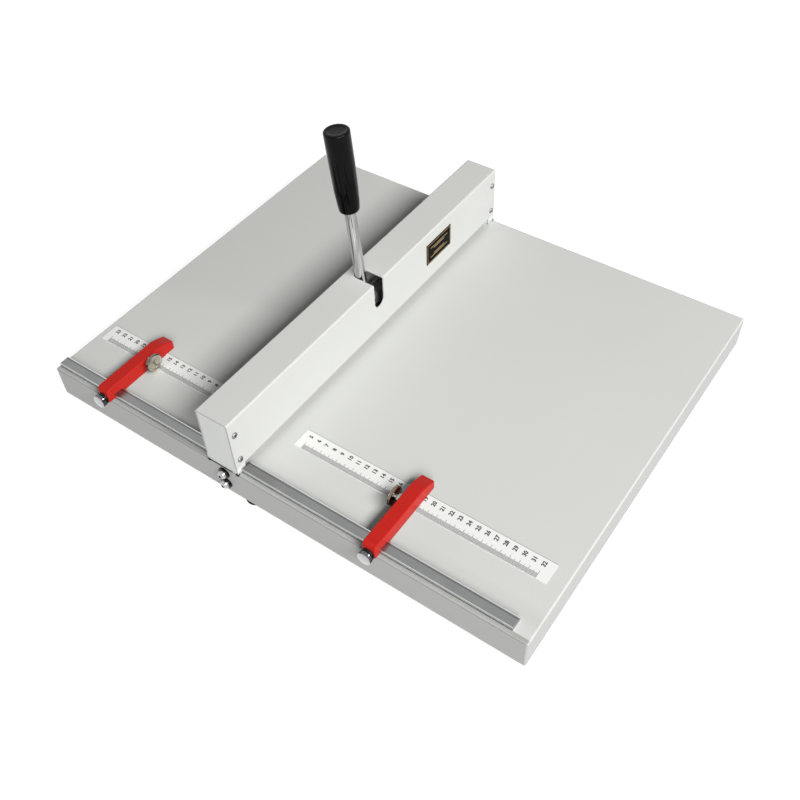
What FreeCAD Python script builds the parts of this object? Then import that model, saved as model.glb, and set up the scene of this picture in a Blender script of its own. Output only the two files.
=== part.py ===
import FreeCAD, Part
import math
import os
import re
import Sketcher

# Desktop paper creasing machine, in millimetres.
#
# Row frame: +X points from the crease line to the operator, over the long front
# table, +Y points to the operator's right and +Z points up.  The origin is on the
# bench, under the middle of the crease line, so an X position on the tables is
# also the reading of the centimetre rulers.
#
# A base pan folded from one sheet carries everything.  A flat die bar lies flush
# in it along the crease line, on a channel.  Two end plates stand on the pan and
# carry a bridge: a folded cover over a cross shaft.  The lever turns the shaft,
# and two cams on it press the blade beam down in guide slots of the end plates.
# Two lift rods with compression springs bring the beam back.

SIZES = {
    # how far a cutting tool runs past the face it leaves by
    "overcut": 1.0,
    # base pan, which is both paper tables
    "rear_reach": 247.0,
    "front_reach": 348.0,
    "table_width": 482.0,
    "wall_height": 38.0,
    "pan_sheet": 1.5,
    "pan_bend": 2.0,
    "pan_lip": 20.0,
    "gusset": 45.0,
    # rubber feet and their screws
    "foot_height": 8.0,
    "foot_radius": 10.0,
    "foot_taper": 1.2,
    "foot_inset": 30.0,
    "mid_foot_inset": 12.0,
    "mid_foot_shift": 25.0,
    "foot_screw_radius": 2.0,
    "foot_screw_head": 4.0,
    "foot_screw_head_height": 2.5,
    "foot_recess": 4.5,
    "foot_recess_gap": 0.5,
    "foot_screw_length": 10.0,
    # die bar and the channel that carries it
    "die_width": 18.0,
    "die_depth": 20.0,
    "groove_width": 1.6,
    "groove_depth": 1.5,
    "die_chamfer": 0.4,
    "seat_gap": 0.3,
    "channel_width": 54.0,
    "channel_sheet": 2.0,
    "channel_lip": 10.0,
    "die_screw_radius": 2.5,
    "die_screw_head": 4.25,
    "die_screw_head_height": 5.0,
    "die_screw_grip": 10.0,
    "die_screw_pitch": 190.0,
    # end plates
    "plate_thick": 12.0,
    "plate_gap": 0.1,
    "tongue_width": 24.0,
    "tongue_depth": 34.0,
    "plate_corner": 1.0,
    "relief_radius": 1.7,
    "relief_inset": 1.4,
    "relief_drop": 0.3,
    "slit_depth": 5.0,
    "slit_height": 0.8,
    "guide_width": 16.1,
    "guide_depth": 5.0,
    "guide_floor": 4.0,
    "guide_top": 29.0,
    # bolts that hold the end plates to the pan's walls
    "bolt_radius": 3.0,
    "bolt_head_radius": 5.0,
    "bolt_head_height": 5.0,
    "bolt_head_ease": 2.0,
    "bolt_socket": 2.2,
    "bolt_washer_radius": 6.6,
    "bolt_washer_thick": 2.4,
    "bolt_upper": 9.0,
    "bolt_pitch": 16.0,
    "bolt_grip": 8.0,
    # bridge cover
    "cover_width": 40.0,
    "cover_height": 74.0,
    "cover_sheet": 1.2,
    "cover_bend": 2.0,
    "cover_lift": 9.3,
    "slot_width": 16.5,
    "slot_shift": 1.4,
    "slot_back": 2.4,
    "slot_floor": 39.0,
    "cover_screw_inset": 7.0,
    "cover_screw_low": 19.0,
    "cover_screw_high": 55.0,
    "cover_screw_radius": 2.0,
    "cover_screw_head": 3.4,
    "cover_screw_dome": 1.9,
    "cover_screw_ease": 0.9,
    "cover_screw_grip": 8.0,
    # cross shaft and its bushes
    "pivot_height": 42.0,
    "shaft_radius": 7.0,
    "shaft_fit": 0.05,
    "shaft_end_gap": 0.5,
    "shaft_chamfer": 1.0,
    "bush_radius": 10.0,
    "bush_depth": 8.0,
    "bush_flange_radius": 12.0,
    "bush_flange": 1.5,
    # cams
    "cam_base": 10.0,
    "cam_width": 12.0,
    "cam_place": 150.0,
    "cam_nose": 3.0,
    "pin_radius": 2.0,
    "pin_sink": 0.5,
    "pin_blind": 2.0,
    # lever
    "lever_lean": 5.0,
    "lever_swing": 80.0,
    "press_stroke": 7.0,
    "hub_radius": 13.0,
    "hub_width": 20.0,
    "hub_flat": 11.5,
    "hub_chamfer": 1.0,
    "rod_radius": 6.0,
    "stub_radius": 4.0,
    "stub_start": 8.0,
    "rod_in_grip": 75.0,
    "rod_chamfer": 1.0,
    "grip_start": 115.0,
    "grip_length": 90.3,
    "grip_foot_radius": 11.0,
    "grip_waist_radius": 12.6,
    "grip_head_radius": 13.3,
    "grip_waist_at": 27.0,
    "grip_head_at": 58.0,
    "grip_foot_round": 3.0,
    "grip_head_round": 1.8,
    "grip_dish": 0.6,
    "grip_rim": 2.6,
    # blade beam, blade and clamp strip
    "beam_width": 26.0,
    "beam_bottom": 12.0,
    "beam_top": 27.0,
    "beam_step": 9.0,
    "beam_end_gap": 0.5,
    "guide_fit": 0.05,
    "blade_thick": 1.0,
    "blade_gap": 6.6,
    "blade_end_gap": 1.0,
    "blade_round": 0.45,
    "strip_thick": 6.0,
    "strip_gap": 0.2,
    "blade_screw_radius": 2.5,
    "blade_screw_head": 4.0,
    "blade_screw_head_height": 4.5,
    "blade_screw_grip": 8.0,
    "blade_screw_pitch": 66.0,
    "blade_screw_count": 7,
    "pad_length": 18.0,
    "pad_width": 24.0,
    "pad_gap": 0.2,
    "pad_chamfer": 1.0,
    # lift rods, springs and their brackets
    "lift_place": 11.0,
    "lift_inset": 11.5,
    "lift_radius": 2.5,
    "lift_root": 6.0,
    "lift_cap_radius": 5.0,
    "lift_cap_height": 2.4,
    "lift_cap_at": 69.0,
    "bracket_sheet": 2.5,
    "bracket_width": 12.0,
    "bracket_reach": 19.0,
    "bracket_floor": 53.0,
    "bracket_height": 18.0,
    "bracket_hole_gap": 0.3,
    "bracket_screw_at": 11.0,
    "bracket_screw_radius": 2.0,
    "bracket_screw_head": 3.5,
    "bracket_screw_head_height": 2.4,
    "bracket_screw_grip": 5.0,
    "spring_radius": 3.9,
    "spring_wire": 0.5,
    "spring_turns": 5.0,
    "spring_closed_pitch": 1.1,
    # rails
    "rail_width": 12.5,
    "rail_height": 5.5,
    "rail_inset": 5.0,
    "rail_chamfer": 0.6,
    "rail_house_gap": 0.5,
    "rear_rail_end": 244.0,
    "front_rail_end": 330.0,
    "rail_screw_radius": 2.0,
    "rail_screw_head": 3.6,
    "rail_screw_head_height": 2.5,
    "rail_screw_grip": 4.0,
    "rail_screw_margin": 25.0,
    # gauge arms
    "front_gauge_at": 181.95,
    "rear_gauge_at": -165.85,
    "arm_width": 15.0,
    "arm_height": 15.7,
    "arm_lift": 0.8,
    "arm_front": 3.0,
    "arm_reach": 95.0,
    "arm_nose": 6.0,
    "arm_slope": 15.0,
    "arm_bend": 40.0,
    "arm_tip_height": 10.5,
    "arm_round": 1.2,
    "arm_rail_fit": 0.15,
    # clamp screws and collars
    "clamp_height": 4.0,
    "clamp_radius": 2.5,
    "collar_radius": 7.0,
    "collar_thick": 2.6,
    "clamp_head_radius": 7.3,
    "clamp_head_thick": 6.4,
    "clamp_head_chamfer": 1.0,
    "clamp_end_gap": 0.05,
    "play": 0.1,
    # fine-adjust stops
    "stop_inset": 59.0,
    "stop_height": 11.5,
    "stop_radius": 10.6,
    "stop_thick": 3.5,
    "stop_stand_off": 5.2,
    "stop_rim": 0.6,
    "stop_dish_radius": 7.0,
    "stop_dish": 0.5,
    "stop_skin": 1.0,
    "stud_radius": 2.5,
    "stud_chamfer": 0.5,
    "stud_grip": 9.0,
    "stud_hole": 11.0,
    "nut_flats": 8.0,
    "nut_thick": 2.6,
    # rulers and name plate
    "ruler_thick": 0.5,
    "ruler_inset": 61.0,
    "ruler_width": 24.0,
    "ruler_start": 41.0,
    "front_ruler_end": 331.0,
    "rear_ruler_end": 239.0,
    "badge_near": 92.5,
    "badge_length": 49.0,
    "badge_low": 31.0,
    "badge_height": 28.0,
    "badge_thick": 0.8,
    "badge_round": 1.5,
}

TOP = "(foot_height + wall_height)"
HALF = "(table_width / 2)"
PLATE = f"({HALF} - plate_thick)"
DIE_END = f"({PLATE} - seat_gap)"
COVER_TOP = f"({TOP} + cover_height)"
INNER_COVER = "(cover_width / 2 - cover_sheet)"
PIVOT = f"({TOP} + pivot_height)"
BEAM_LOW = f"({TOP} + beam_bottom)"
BEAM_HIGH = f"({TOP} + beam_top)"
STEP = f"({BEAM_LOW} + beam_step)"
CAM_SEAT = f"({PIVOT} - cam_base)"
LIFT_Y = f"({PLATE} - lift_inset)"
BRACKET_LOW = f"({TOP} + bracket_floor)"
SPRING_LOW = f"({BRACKET_LOW} + bracket_sheet)"
SPRING_HIGH = f"({TOP} + lift_cap_at)"
RAIL_FACE = f"({HALF} - rail_inset)"
RAIL_BACK = f"({RAIL_FACE} - rail_width)"
JAW = f"({HALF} + arm_front)"
CLAMP_Z = f"({TOP} + clamp_height)"
STOP_Z = f"({TOP} + stop_height)"
COLLAR_FACE = f"({JAW} + play + collar_thick)"

doc = FreeCAD.newDocument("creasing_machine")
sheet = doc.addObject("Spreadsheet::Sheet", "dim")
for row, (alias, size) in enumerate(SIZES.items(), start=1):
    sheet.set(f"A{row}", alias)
    sheet.set(f"B{row}", str(size))
    sheet.setAlias(f"B{row}", alias)
doc.recompute()

WORD = re.compile(r"[a-z][a-z_]*")
NEAR = 1e-3
AXES = {
    "x": FreeCAD.Rotation(FreeCAD.Vector(0, 1, 0), 90),
    "y": FreeCAD.Rotation(FreeCAD.Vector(1, 0, 0), -90),
    "z": FreeCAD.Rotation(),
}
pieces = {}


# ---------------------------------------------------------------- helpers

def bound(text):
    """The expression with the sheet's name before each alias."""
    return WORD.sub(lambda word: "dim." * (word.group() in SIZES) + word.group(), text)


def number(text):
    """What the expression is worth now."""
    return float(sheet.evalExpression(bound(text)))


def tie(thing, **sizes):
    """Bind properties such as Height or Placement__Base__x to expressions."""
    for name, text in sizes.items():
        thing.setExpression(name.replace("__", "."), bound(text))
    return thing


def block(x_span, y_span, z_span):
    """A box between six expressions."""
    box = doc.addObject("Part::Box", "block")
    for side, axis, (low, high) in zip(("Length", "Width", "Height"), "xyz", (x_span, y_span, z_span)):
        tie(box, **{side: f"{high} - ({low})", f"Placement__Base__{axis}": low})
    return box


def cylinder(axis, radius, span, centre):
    """A round bar along an axis, with its centre on the two other axes in order."""
    bar = doc.addObject("Part::Cylinder", "cylinder")
    bar.Placement.Rotation = AXES[axis]
    tie(bar, Radius=radius, Height=f"{span[1]} - ({span[0]})")
    places = iter(centre)
    for name in "xyz":
        tie(bar, **{f"Placement__Base__{name}": span[0] if name == axis else next(places)})
    return bar


def fuse(*shapes):
    joined = doc.addObject("Part::MultiFuse", "fuse")
    joined.Shapes = list(shapes)
    joined.Refine = True
    return joined


def group(*shapes):
    """Separate solids that share one node."""
    together = doc.addObject("Part::Compound", "group")
    together.Links = list(shapes)
    return together


def cut(base, *tools):
    result = doc.addObject("Part::Cut", "cut")
    result.Base = base
    result.Tool = tools[0] if len(tools) == 1 else group(*tools)
    result.Refine = True
    return result


def edges_where(shape, test):
    """Numbers of the edges whose middle point and direction pass the test."""
    found = []
    for index, edge in enumerate(shape.Edges, start=1):
        if len(edge.Vertexes) == 2:
            run = edge.Vertexes[1].Point - edge.Vertexes[0].Point
        else:
            run = FreeCAD.Vector()
        if test(edge.CenterOfMass, run):
            found.append(index)
    return found


def soften(base, radius, test, kind="Part::Fillet"):
    """Round or chamfer the edges that pass the test."""
    doc.recompute()
    eased = doc.addObject(kind, "eased")
    eased.Base = base
    size = number(radius)
    eased.Edges = [(index, size, size) for index in edges_where(base.Shape, test)]
    return eased


def along(run, axis):
    """Whether an edge runs along the axis 0, 1 or 2."""
    return run.Length > NEAR and abs(run[axis]) > 0.999 * run.Length


def mirrored(source, normal=(0, 1, 0)):
    """The same piece on the other side of the middle plane."""
    twin = doc.addObject("Part::Mirroring", "mirrored")
    twin.Source = source
    twin.Normal = FreeCAD.Vector(*normal)
    return twin


def outline(body, plane, points):
    """A closed sketch of straight sides, each corner tied to two expressions."""
    sketch = body.newObject("Sketcher::SketchObject", "outline")
    support = [item for item in body.Origin.OriginFeatures if item.Role == plane][0]
    sketch.AttachmentSupport = [(support, "")]
    sketch.MapMode = "FlatFace"
    corners = [FreeCAD.Vector(number(a), number(b), 0) for a, b in points]
    following = corners[1:] + corners[:1]
    for start, end in zip(corners, following):
        sketch.addGeometry(Part.LineSegment(start, end))
    for index in range(len(corners)):
        sketch.addConstraint(Sketcher.Constraint("Coincident", index, 2, (index + 1) % len(corners), 1))
    for index, pair in enumerate(points):
        for kind, text in zip(("DistanceX", "DistanceY"), pair):
            place = sketch.addConstraint(Sketcher.Constraint(kind, -1, 1, index, 1, number(text)))
            sketch.setExpression(f"Constraints[{place}]", bound(text))
    return sketch


def prism(plane, points, length):
    """A bar of constant section, centred on its sketch plane."""
    body = doc.addObject("PartDesign::Body", "prism")
    pad = body.newObject("PartDesign::Pad", "pad")
    pad.Profile = outline(body, plane, points)
    pad.SideType = "Symmetric"
    tie(pad, Length=length)
    return body


def turned(points):
    """A body of revolution about Z from a half section in X and Z."""
    body = doc.addObject("PartDesign::Body", "turned")
    spin = body.newObject("PartDesign::Revolution", "spin")
    spin.Profile = outline(body, "XZ_Plane", points)
    spin.ReferenceAxis = (spin.Profile[0], ["V_Axis"])
    spin.Angle = 360
    return body


def add_fillet(body, radius, numbers):
    """A fillet feature on the numbered edges of the body's tip."""
    tip = body.Tip
    fillet = body.newObject("PartDesign::Fillet", "fillet")
    fillet.Base = (tip, [f"Edge{index}" for index in numbers])
    tie(fillet, Radius=radius)
    body.Tip = fillet


def round_ring(body, radius, level, ring):
    """Round the circular edge of a turned body at a height and a radius."""
    doc.recompute()
    height = number(level)
    size = number(ring)

    def is_ring(curve):
        found = isinstance(curve, Part.Circle)
        return found and abs(curve.Center.z - height) < NEAR and abs(curve.Radius - size) < NEAR

    edges = enumerate(body.Tip.Shape.Edges, start=1)
    add_fillet(body, radius, [index for index, edge in edges if is_ring(edge.Curve)])


def span(side, near, far):
    """The stretch from near to far on the side +1 or -1 of zero, lowest end first."""
    return (f"({near})", f"({far})") if side > 0 else (f"-({far})", f"-({near})")


def both(size):
    """A stretch centred on zero, half the size each way."""
    return (f"-({size}) / 2", f"({size}) / 2")


def node(name, thing):
    """Give the finished sub-part the name of its file."""
    thing.Label = name
    pieces[name] = thing
    return thing


def lean_back(thing):
    """Carry a piece made about the shaft's axis to the pivot, leaning to the rear."""
    thing.Placement.Rotation = FreeCAD.Rotation(FreeCAD.Vector(0, 1, 0), 1)
    return tie(thing, Placement__Base__z=PIVOT, Placement__Rotation__Angle="-lever_lean")


# ---------------------------------------------------------------- base

def foot_places():
    """X and Y of the six feet, corners first."""
    corners_x = ("-(rear_reach - foot_inset)", "front_reach - foot_inset")
    places = []
    for side in (-1, 1):
        edge = f"{side} * ({HALF} - foot_inset)"
        places += [(x, edge) for x in corners_x]
        places.append(("mid_foot_shift", f"{side} * ({HALF} - mid_foot_inset)"))
    return places


def relief_place(corner):
    """X and Z of the round relief under a corner of an end plate."""
    return (f"{corner} * (cover_width / 2 - relief_inset)", f"{TOP} - relief_drop")


def end_bolts(radius, y_span):
    """One pair of upright bolts at the left end."""
    heights = (f"{TOP} - bolt_upper", f"{TOP} - bolt_upper - bolt_pitch")
    return [cylinder("y", radius, y_span, ("0", height)) for height in heights]


def base_pan():
    outer = block(("-rear_reach", "front_reach"), both("table_width"), ("foot_height", TOP))
    low = number("foot_height")
    folded = soften(outer, "pan_bend", lambda at, run: at.z > low + NEAR)
    cavity = block(
        ("-(rear_reach - pan_sheet)", "front_reach - pan_sheet"),
        both("table_width - 2 * pan_sheet"),
        ("foot_height + pan_sheet", f"{TOP} - pan_sheet"),
    )
    mouth = block(
        ("-(rear_reach - pan_lip)", "front_reach - pan_lip"),
        both("table_width - 2 * pan_lip"),
        ("foot_height - pan_sheet", "foot_height + 2 * pan_sheet"),
    )
    cut_corners = soften(mouth, "gusset", lambda at, run: along(run, 2), "Part::Chamfer")
    through = (f"{TOP} - 2 * pan_sheet", f"{TOP} + pan_sheet")
    openings = [cavity, cut_corners, block(both("die_width + 2 * seat_gap"), both(f"2 * {PLATE}"), through)]
    for side in (-1, 1):
        notch = span(side, f"{PLATE} - seat_gap", f"{HALF} + pan_sheet")
        notch_z = (f"{TOP} - pan_sheet - plate_gap", through[1])
        openings.append(block(both("tongue_width + 2 * seat_gap"), notch, notch_z))
        for corner in (-1, 1):
            relief = span(side, f"{HALF} - 2 * pan_sheet", f"{HALF} + pan_sheet")
            openings.append(cylinder("y", "relief_radius", relief, relief_place(corner)))
    openings += end_bolts("bolt_radius", both("table_width + 4 * pan_sheet"))
    for place in foot_places():
        floor = ("foot_height - overcut", "foot_height + 2 * pan_sheet")
        openings.append(cylinder("z", "foot_screw_radius", floor, place))
    for place in rail_screw_places():
        openings.append(cylinder("z", "rail_screw_radius", through, place))
    node("base_pan", cut(folded, *openings))


def feet():
    names = ("left_rear", "left_front", "left_middle", "right_rear", "right_front", "right_middle")
    screws = []
    for name, (x, y) in zip(names, foot_places()):
        pad = doc.addObject("Part::Cone", "foot")
        tie(pad, Radius1="foot_radius - foot_taper", Radius2="foot_radius", Height="foot_height")
        tie(pad, Placement__Base__x=x, Placement__Base__y=y)
        recess = cylinder("z", "foot_screw_head + foot_recess_gap", ("-overcut", "foot_recess"), (x, y))
        hole = cylinder("z", "foot_screw_radius", ("0", "foot_height + overcut"), (x, y))
        node(f"{name}_foot", cut(pad, recess, hole))
        head_span = ("foot_recess - foot_screw_head_height", "foot_recess")
        head = cylinder("z", "foot_screw_head", head_span, (x, y))
        shank_span = ("foot_recess", "foot_recess + foot_screw_length")
        shank = cylinder("z", "foot_screw_radius", shank_span, (x, y))
        screws.append(fuse(head, shank))
    node("foot_screws", group(*screws))


def die_and_channel():
    seat = f"({TOP} - die_depth)"
    edge = "(channel_width / 2)"
    inner = "(channel_width / 2 - channel_sheet)"
    brim = "(channel_width / 2 + channel_lip)"
    under = f"({TOP} - pan_sheet)"
    half_hat = [
        (f"{brim}", f"{under} - channel_sheet"),
        (f"{edge}", f"{under} - channel_sheet"),
        (f"{edge}", f"{seat} - channel_sheet"),
    ]
    hat = [(f"-{inner}", under), (f"-{inner}", seat), (inner, seat), (inner, under), (brim, under)]
    hat += half_hat
    hat += [(f"-{x}", z) for x, z in reversed(half_hat)]
    hat.append((f"-{brim}", under))
    channel = prism("XZ_Plane", hat, f"2 * {DIE_END}")

    lip = "(groove_width / 2)"
    chamfer = "die_chamfer"
    half_die = [
        ("die_width / 2", seat),
        ("die_width / 2", f"{TOP} - {chamfer}"),
        (f"die_width / 2 - {chamfer}", TOP),
        (f"{lip} + {chamfer}", TOP),
        (lip, f"{TOP} - {chamfer}"),
        (lip, f"{TOP} - groove_depth"),
    ]
    section = half_die + [(f"-({x})", z) for x, z in reversed(half_die)]
    die = prism("XZ_Plane", section, f"2 * {DIE_END}")

    screws = []
    holes = []
    for step in (-1, 0, 1):
        place = ("0", f"{step} * die_screw_pitch")
        head_span = (f"{seat} - channel_sheet - die_screw_head_height", f"{seat} - channel_sheet")
        shank_span = (head_span[1], f"{seat} + die_screw_grip")
        head = cylinder("z", "die_screw_head", head_span, place)
        screws.append(fuse(head, cylinder("z", "die_screw_radius", shank_span, place)))
        hole_span = (f"{shank_span[0]} - overcut", shank_span[1])
        holes.append(cylinder("z", "die_screw_radius", hole_span, place))
    node("under_channel", cut(channel, *holes))
    node("die_bar", cut(die, *holes))
    node("die_screws", group(*screws))


# ---------------------------------------------------------------- bridge

def cover_screw_places(side):
    """Y and Z of the two cover screws at one end."""
    y = f"{side} * ({HALF} - cover_screw_inset)"
    return [(y, f"{TOP} + cover_screw_low"), (y, f"{TOP} + cover_screw_high")]


def end_plates():
    thickness = (f"-{HALF}", f"-{PLATE}")
    body = block(
        both(f"2 * ({INNER_COVER} - plate_gap)"),
        thickness,
        (TOP, f"{COVER_TOP} - cover_sheet - plate_gap"),
    )
    roof = number(f"{COVER_TOP} - cover_sheet - plate_gap")
    body = soften(
        body, "plate_corner", lambda at, run: along(run, 1) and at.z > roof - NEAR, "Part::Chamfer"
    )
    sill = block(both("cover_width"), thickness, (TOP, f"{TOP} + cover_lift - plate_gap"))
    tongue = block(
        both("tongue_width"),
        (f"-({HALF} - pan_sheet - plate_gap)", f"-{PLATE}"),
        (f"{TOP} - tongue_depth", f"{TOP} + cover_lift / 2"),
    )
    guide = block(
        both("guide_width"),
        (f"-({PLATE} + guide_depth)", f"-({PLATE} - overcut)"),
        (f"{TOP} + guide_floor", f"{TOP} + guide_top"),
    )
    pocket_y = (f"-({PLATE} + bush_depth)", f"-({PLATE} - overcut)")
    pocket = cylinder("y", "bush_radius", pocket_y, ("0", PIVOT))
    outside = f"-({HALF} + overcut)"
    slit = block(
        both("tongue_width + 2 * seat_gap"),
        (outside, f"-({HALF} - slit_depth)"),
        (f"{TOP} - pan_sheet - plate_gap", f"{TOP} + slit_height"),
    )
    tools = [guide, pocket, slit]
    for corner in (-1, 1):
        past = (outside, f"-({PLATE} - overcut)")
        tools.append(cylinder("y", "relief_radius", past, relief_place(corner)))
    tools += end_bolts("bolt_radius", (outside, f"-({HALF} - pan_sheet - bolt_grip)"))
    for y, z in cover_screw_places(-1):
        for side in (-1, 1):
            reach = span(side, f"{INNER_COVER} - cover_screw_grip", "cover_width / 2")
            tools.append(cylinder("x", "cover_screw_radius", reach, (y, z)))
    tap = (f"-({PLATE} + bracket_screw_grip)", f"-({PLATE} - overcut)")
    tap_place = ("-lift_place", f"{BRACKET_LOW} + bracket_screw_at")
    tools.append(cylinder("y", "bracket_screw_radius", tap, tap_place))
    left = node("left_end_plate", cut(fuse(body, sill, tongue), *tools))
    node("right_end_plate", mirrored(left))


def end_plate_bolts():
    wall = f"-{HALF}"
    face = f"-({HALF} + bolt_washer_thick)"
    tip = f"-({HALF} - pan_sheet - bolt_grip)"
    crown = number(f"{face} - bolt_head_height")
    bolts = []
    for height in (f"{TOP} - bolt_upper", f"{TOP} - bolt_upper - bolt_pitch"):
        head = cylinder("y", "bolt_head_radius", (f"{face} - bolt_head_height", face), ("0", height))
        eased = soften(
            head, "bolt_head_ease", lambda at, run: abs(at.y - crown) < NEAR, "Part::Chamfer"
        )
        socket = doc.addObject("Part::Prism", "socket")
        socket.Polygon = 6
        socket.Placement.Rotation = AXES["y"]
        tie(socket, Circumradius="bolt_socket", Height="bolt_head_height / 2")
        tie(socket, Placement__Base__y=f"{face} - bolt_head_height", Placement__Base__z=height)
        shank = cylinder("y", "bolt_radius", (face, tip), ("0", height))
        bolts.append(fuse(cut(eased, socket), shank))
    left = node("left_plate_bolts", group(*bolts))
    outers = end_bolts("bolt_washer_radius", (face, wall))
    inners = end_bolts("bolt_radius", (face, wall))
    rings = [cut(outer, inner) for outer, inner in zip(outers, inners)]
    washers = node("left_bolt_washers", group(*rings))
    node("right_plate_bolts", mirrored(left))
    node("right_bolt_washers", mirrored(washers))


def bridge_cover():
    outer = block(both("cover_width"), both("table_width"), (f"{TOP} + cover_lift", COVER_TOP))
    roof = number(COVER_TOP)
    folded = soften(outer, "cover_bend", lambda at, run: along(run, 1) and at.z > roof - NEAR)
    hollow = block(
        both(f"2 * {INNER_COVER}"),
        both("table_width + 2 * overcut"),
        (f"{TOP} + cover_lift - overcut", f"{COVER_TOP} - cover_sheet"),
    )
    inner_roof = number(f"{COVER_TOP} - cover_sheet")
    inner = soften(
        hollow, "cover_bend - cover_sheet", lambda at, run: along(run, 1) and at.z > inner_roof - NEAR
    )
    radius = "(slot_width / 2)"
    roof_span = (f"{COVER_TOP} - 3 * cover_sheet", f"{COVER_TOP} + overcut")
    front_span = (f"{INNER_COVER} - overcut", "cover_width / 2 + overcut")
    round_at = f"({TOP} + slot_floor + {radius})"
    across = (f"slot_shift - {radius}", f"slot_shift + {radius}")
    tools = [
        inner,
        cylinder("z", radius, roof_span, ("-slot_back", "slot_shift")),
        block(("-slot_back", front_span[1]), across, roof_span),
        cylinder("x", radius, front_span, ("slot_shift", round_at)),
        block(front_span, across, (round_at, roof_span[1])),
    ]
    for side in (-1, 1):
        for place in cover_screw_places(side):
            tools.append(cylinder("x", "cover_screw_radius", both("cover_width + 2 * overcut"), place))
    node("bridge_cover", cut(folded, *tools))


def cover_screw(side, y, z):
    """A pan-head screw in the front (+1) or the rear (-1) sheet."""
    face = "cover_width / 2"
    crown = f"{face} + cover_screw_dome"
    head = cylinder("x", "cover_screw_head", span(side, face, crown), (y, z))
    level = side * number(crown)
    eased = soften(head, "cover_screw_ease", lambda at, run: abs(at.x - level) < NEAR, "Part::Chamfer")
    reach = span(side, f"{INNER_COVER} - cover_screw_grip", face)
    return fuse(eased, cylinder("x", "cover_screw_radius", reach, (y, z)))


def cover_screws():
    screws = []
    for end in (-1, 1):
        for y, z in cover_screw_places(end):
            screws += [cover_screw(side, y, z) for side in (-1, 1)]
    node("cover_screws", group(*screws))


# ---------------------------------------------------------------- shaft and lever

def cross_pin(y, reach):
    """A roll pin through the shaft and the boss of the given radius around it."""
    return cylinder("x", "pin_radius", (f"-({reach} - pin_sink)", f"{reach} - pin_blind"), (y, PIVOT))


def shaft_and_bushes():
    end = f"({PLATE} + bush_depth - shaft_end_gap)"
    shaft = cylinder("y", "shaft_radius", (f"-{end}", end), ("0", PIVOT))
    tip = number(end)
    eased = soften(shaft, "shaft_chamfer", lambda at, run: abs(abs(at.y) - tip) < NEAR, "Part::Chamfer")
    pins = [cross_pin(y, "cam_base") for y in ("-cam_place", "cam_place")]
    pins.append(cross_pin("0", "hub_radius"))
    node("cross_shaft", cut(eased, *pins))
    node("shaft_pins", group(*pins))

    centre = ("0", PIVOT)
    sleeve = cylinder("y", "bush_radius", (f"-({PLATE} + bush_depth)", f"-{PLATE}"), centre)
    flange = cylinder("y", "bush_flange_radius", (f"-{PLATE}", f"-({PLATE} - bush_flange)"), centre)
    through = (f"-({PLATE} + bush_depth + overcut)", f"-({PLATE} - bush_flange - overcut)")
    bore = cylinder("y", "shaft_radius + shaft_fit", through, centre)
    left = node("left_bush", cut(fuse(sleeve, flange), bore))
    node("right_bush", mirrored(left))


def cam_outline():
    """Section of a cam in X and Z about the shaft's axis.

    The working side is the involute of a circle, so a flat pad under it sinks in
    step with the angle: its distance from the axis is cam_base plus the rise per
    radian times the angle.  The nose is an arc, and a straight back leads from it
    to the round base.
    """
    base = number("cam_base")
    nose = number("cam_nose")
    swing = math.radians(number("lever_swing"))
    rate = number("press_stroke") / swing

    def outward(angle):
        return FreeCAD.Vector(math.sin(angle), 0, -math.cos(angle))

    def flank(angle):
        level = FreeCAD.Vector(math.cos(angle), 0, math.sin(angle))
        return outward(angle) * (base + rate * angle) + level * rate

    steps = 8
    overrun = math.radians(2)
    working_end = swing + overrun
    curve = Part.BSplineCurve()
    curve.interpolate([flank(working_end * step / steps) for step in range(steps + 1)])
    start = flank(working_end)
    centre = start - outward(working_end) * nose
    toward = math.atan2(centre.x, -centre.z)
    leave = toward + math.acos((base - nose) / centre.Length)
    middle = (working_end + leave) / 2
    nose_end = centre + outward(leave) * nose
    back = outward(leave) * base
    low = outward(2 * math.pi) * base
    sides = [
        curve.toShape(),
        Part.Arc(start, centre + outward(middle) * nose, nose_end).toShape(),
        Part.LineSegment(nose_end, back).toShape(),
        Part.Arc(back, outward((leave + 2 * math.pi) / 2) * base, low).toShape(),
        Part.LineSegment(low, flank(0)).toShape(),
    ]
    return Part.Face(Part.Wire(sides))


def cams():
    width = number("cam_width")
    for name, side in (("left", -1), ("right", 1)):
        lobe = doc.addObject("Part::Feature", "lobe")
        lobe.Shape = cam_outline().extrude(FreeCAD.Vector(0, width, 0))
        tie(lobe, Placement__Base__y=f"{side} * cam_place - cam_width / 2", Placement__Base__z=PIVOT)
        across = (f"{side} * cam_place - cam_width", f"{side} * cam_place + cam_width")
        bore = cylinder("y", "shaft_radius", across, ("0", PIVOT))
        node(f"{name}_cam", cut(lobe, bore, cross_pin(f"{side} * cam_place", "cam_base")))


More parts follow.
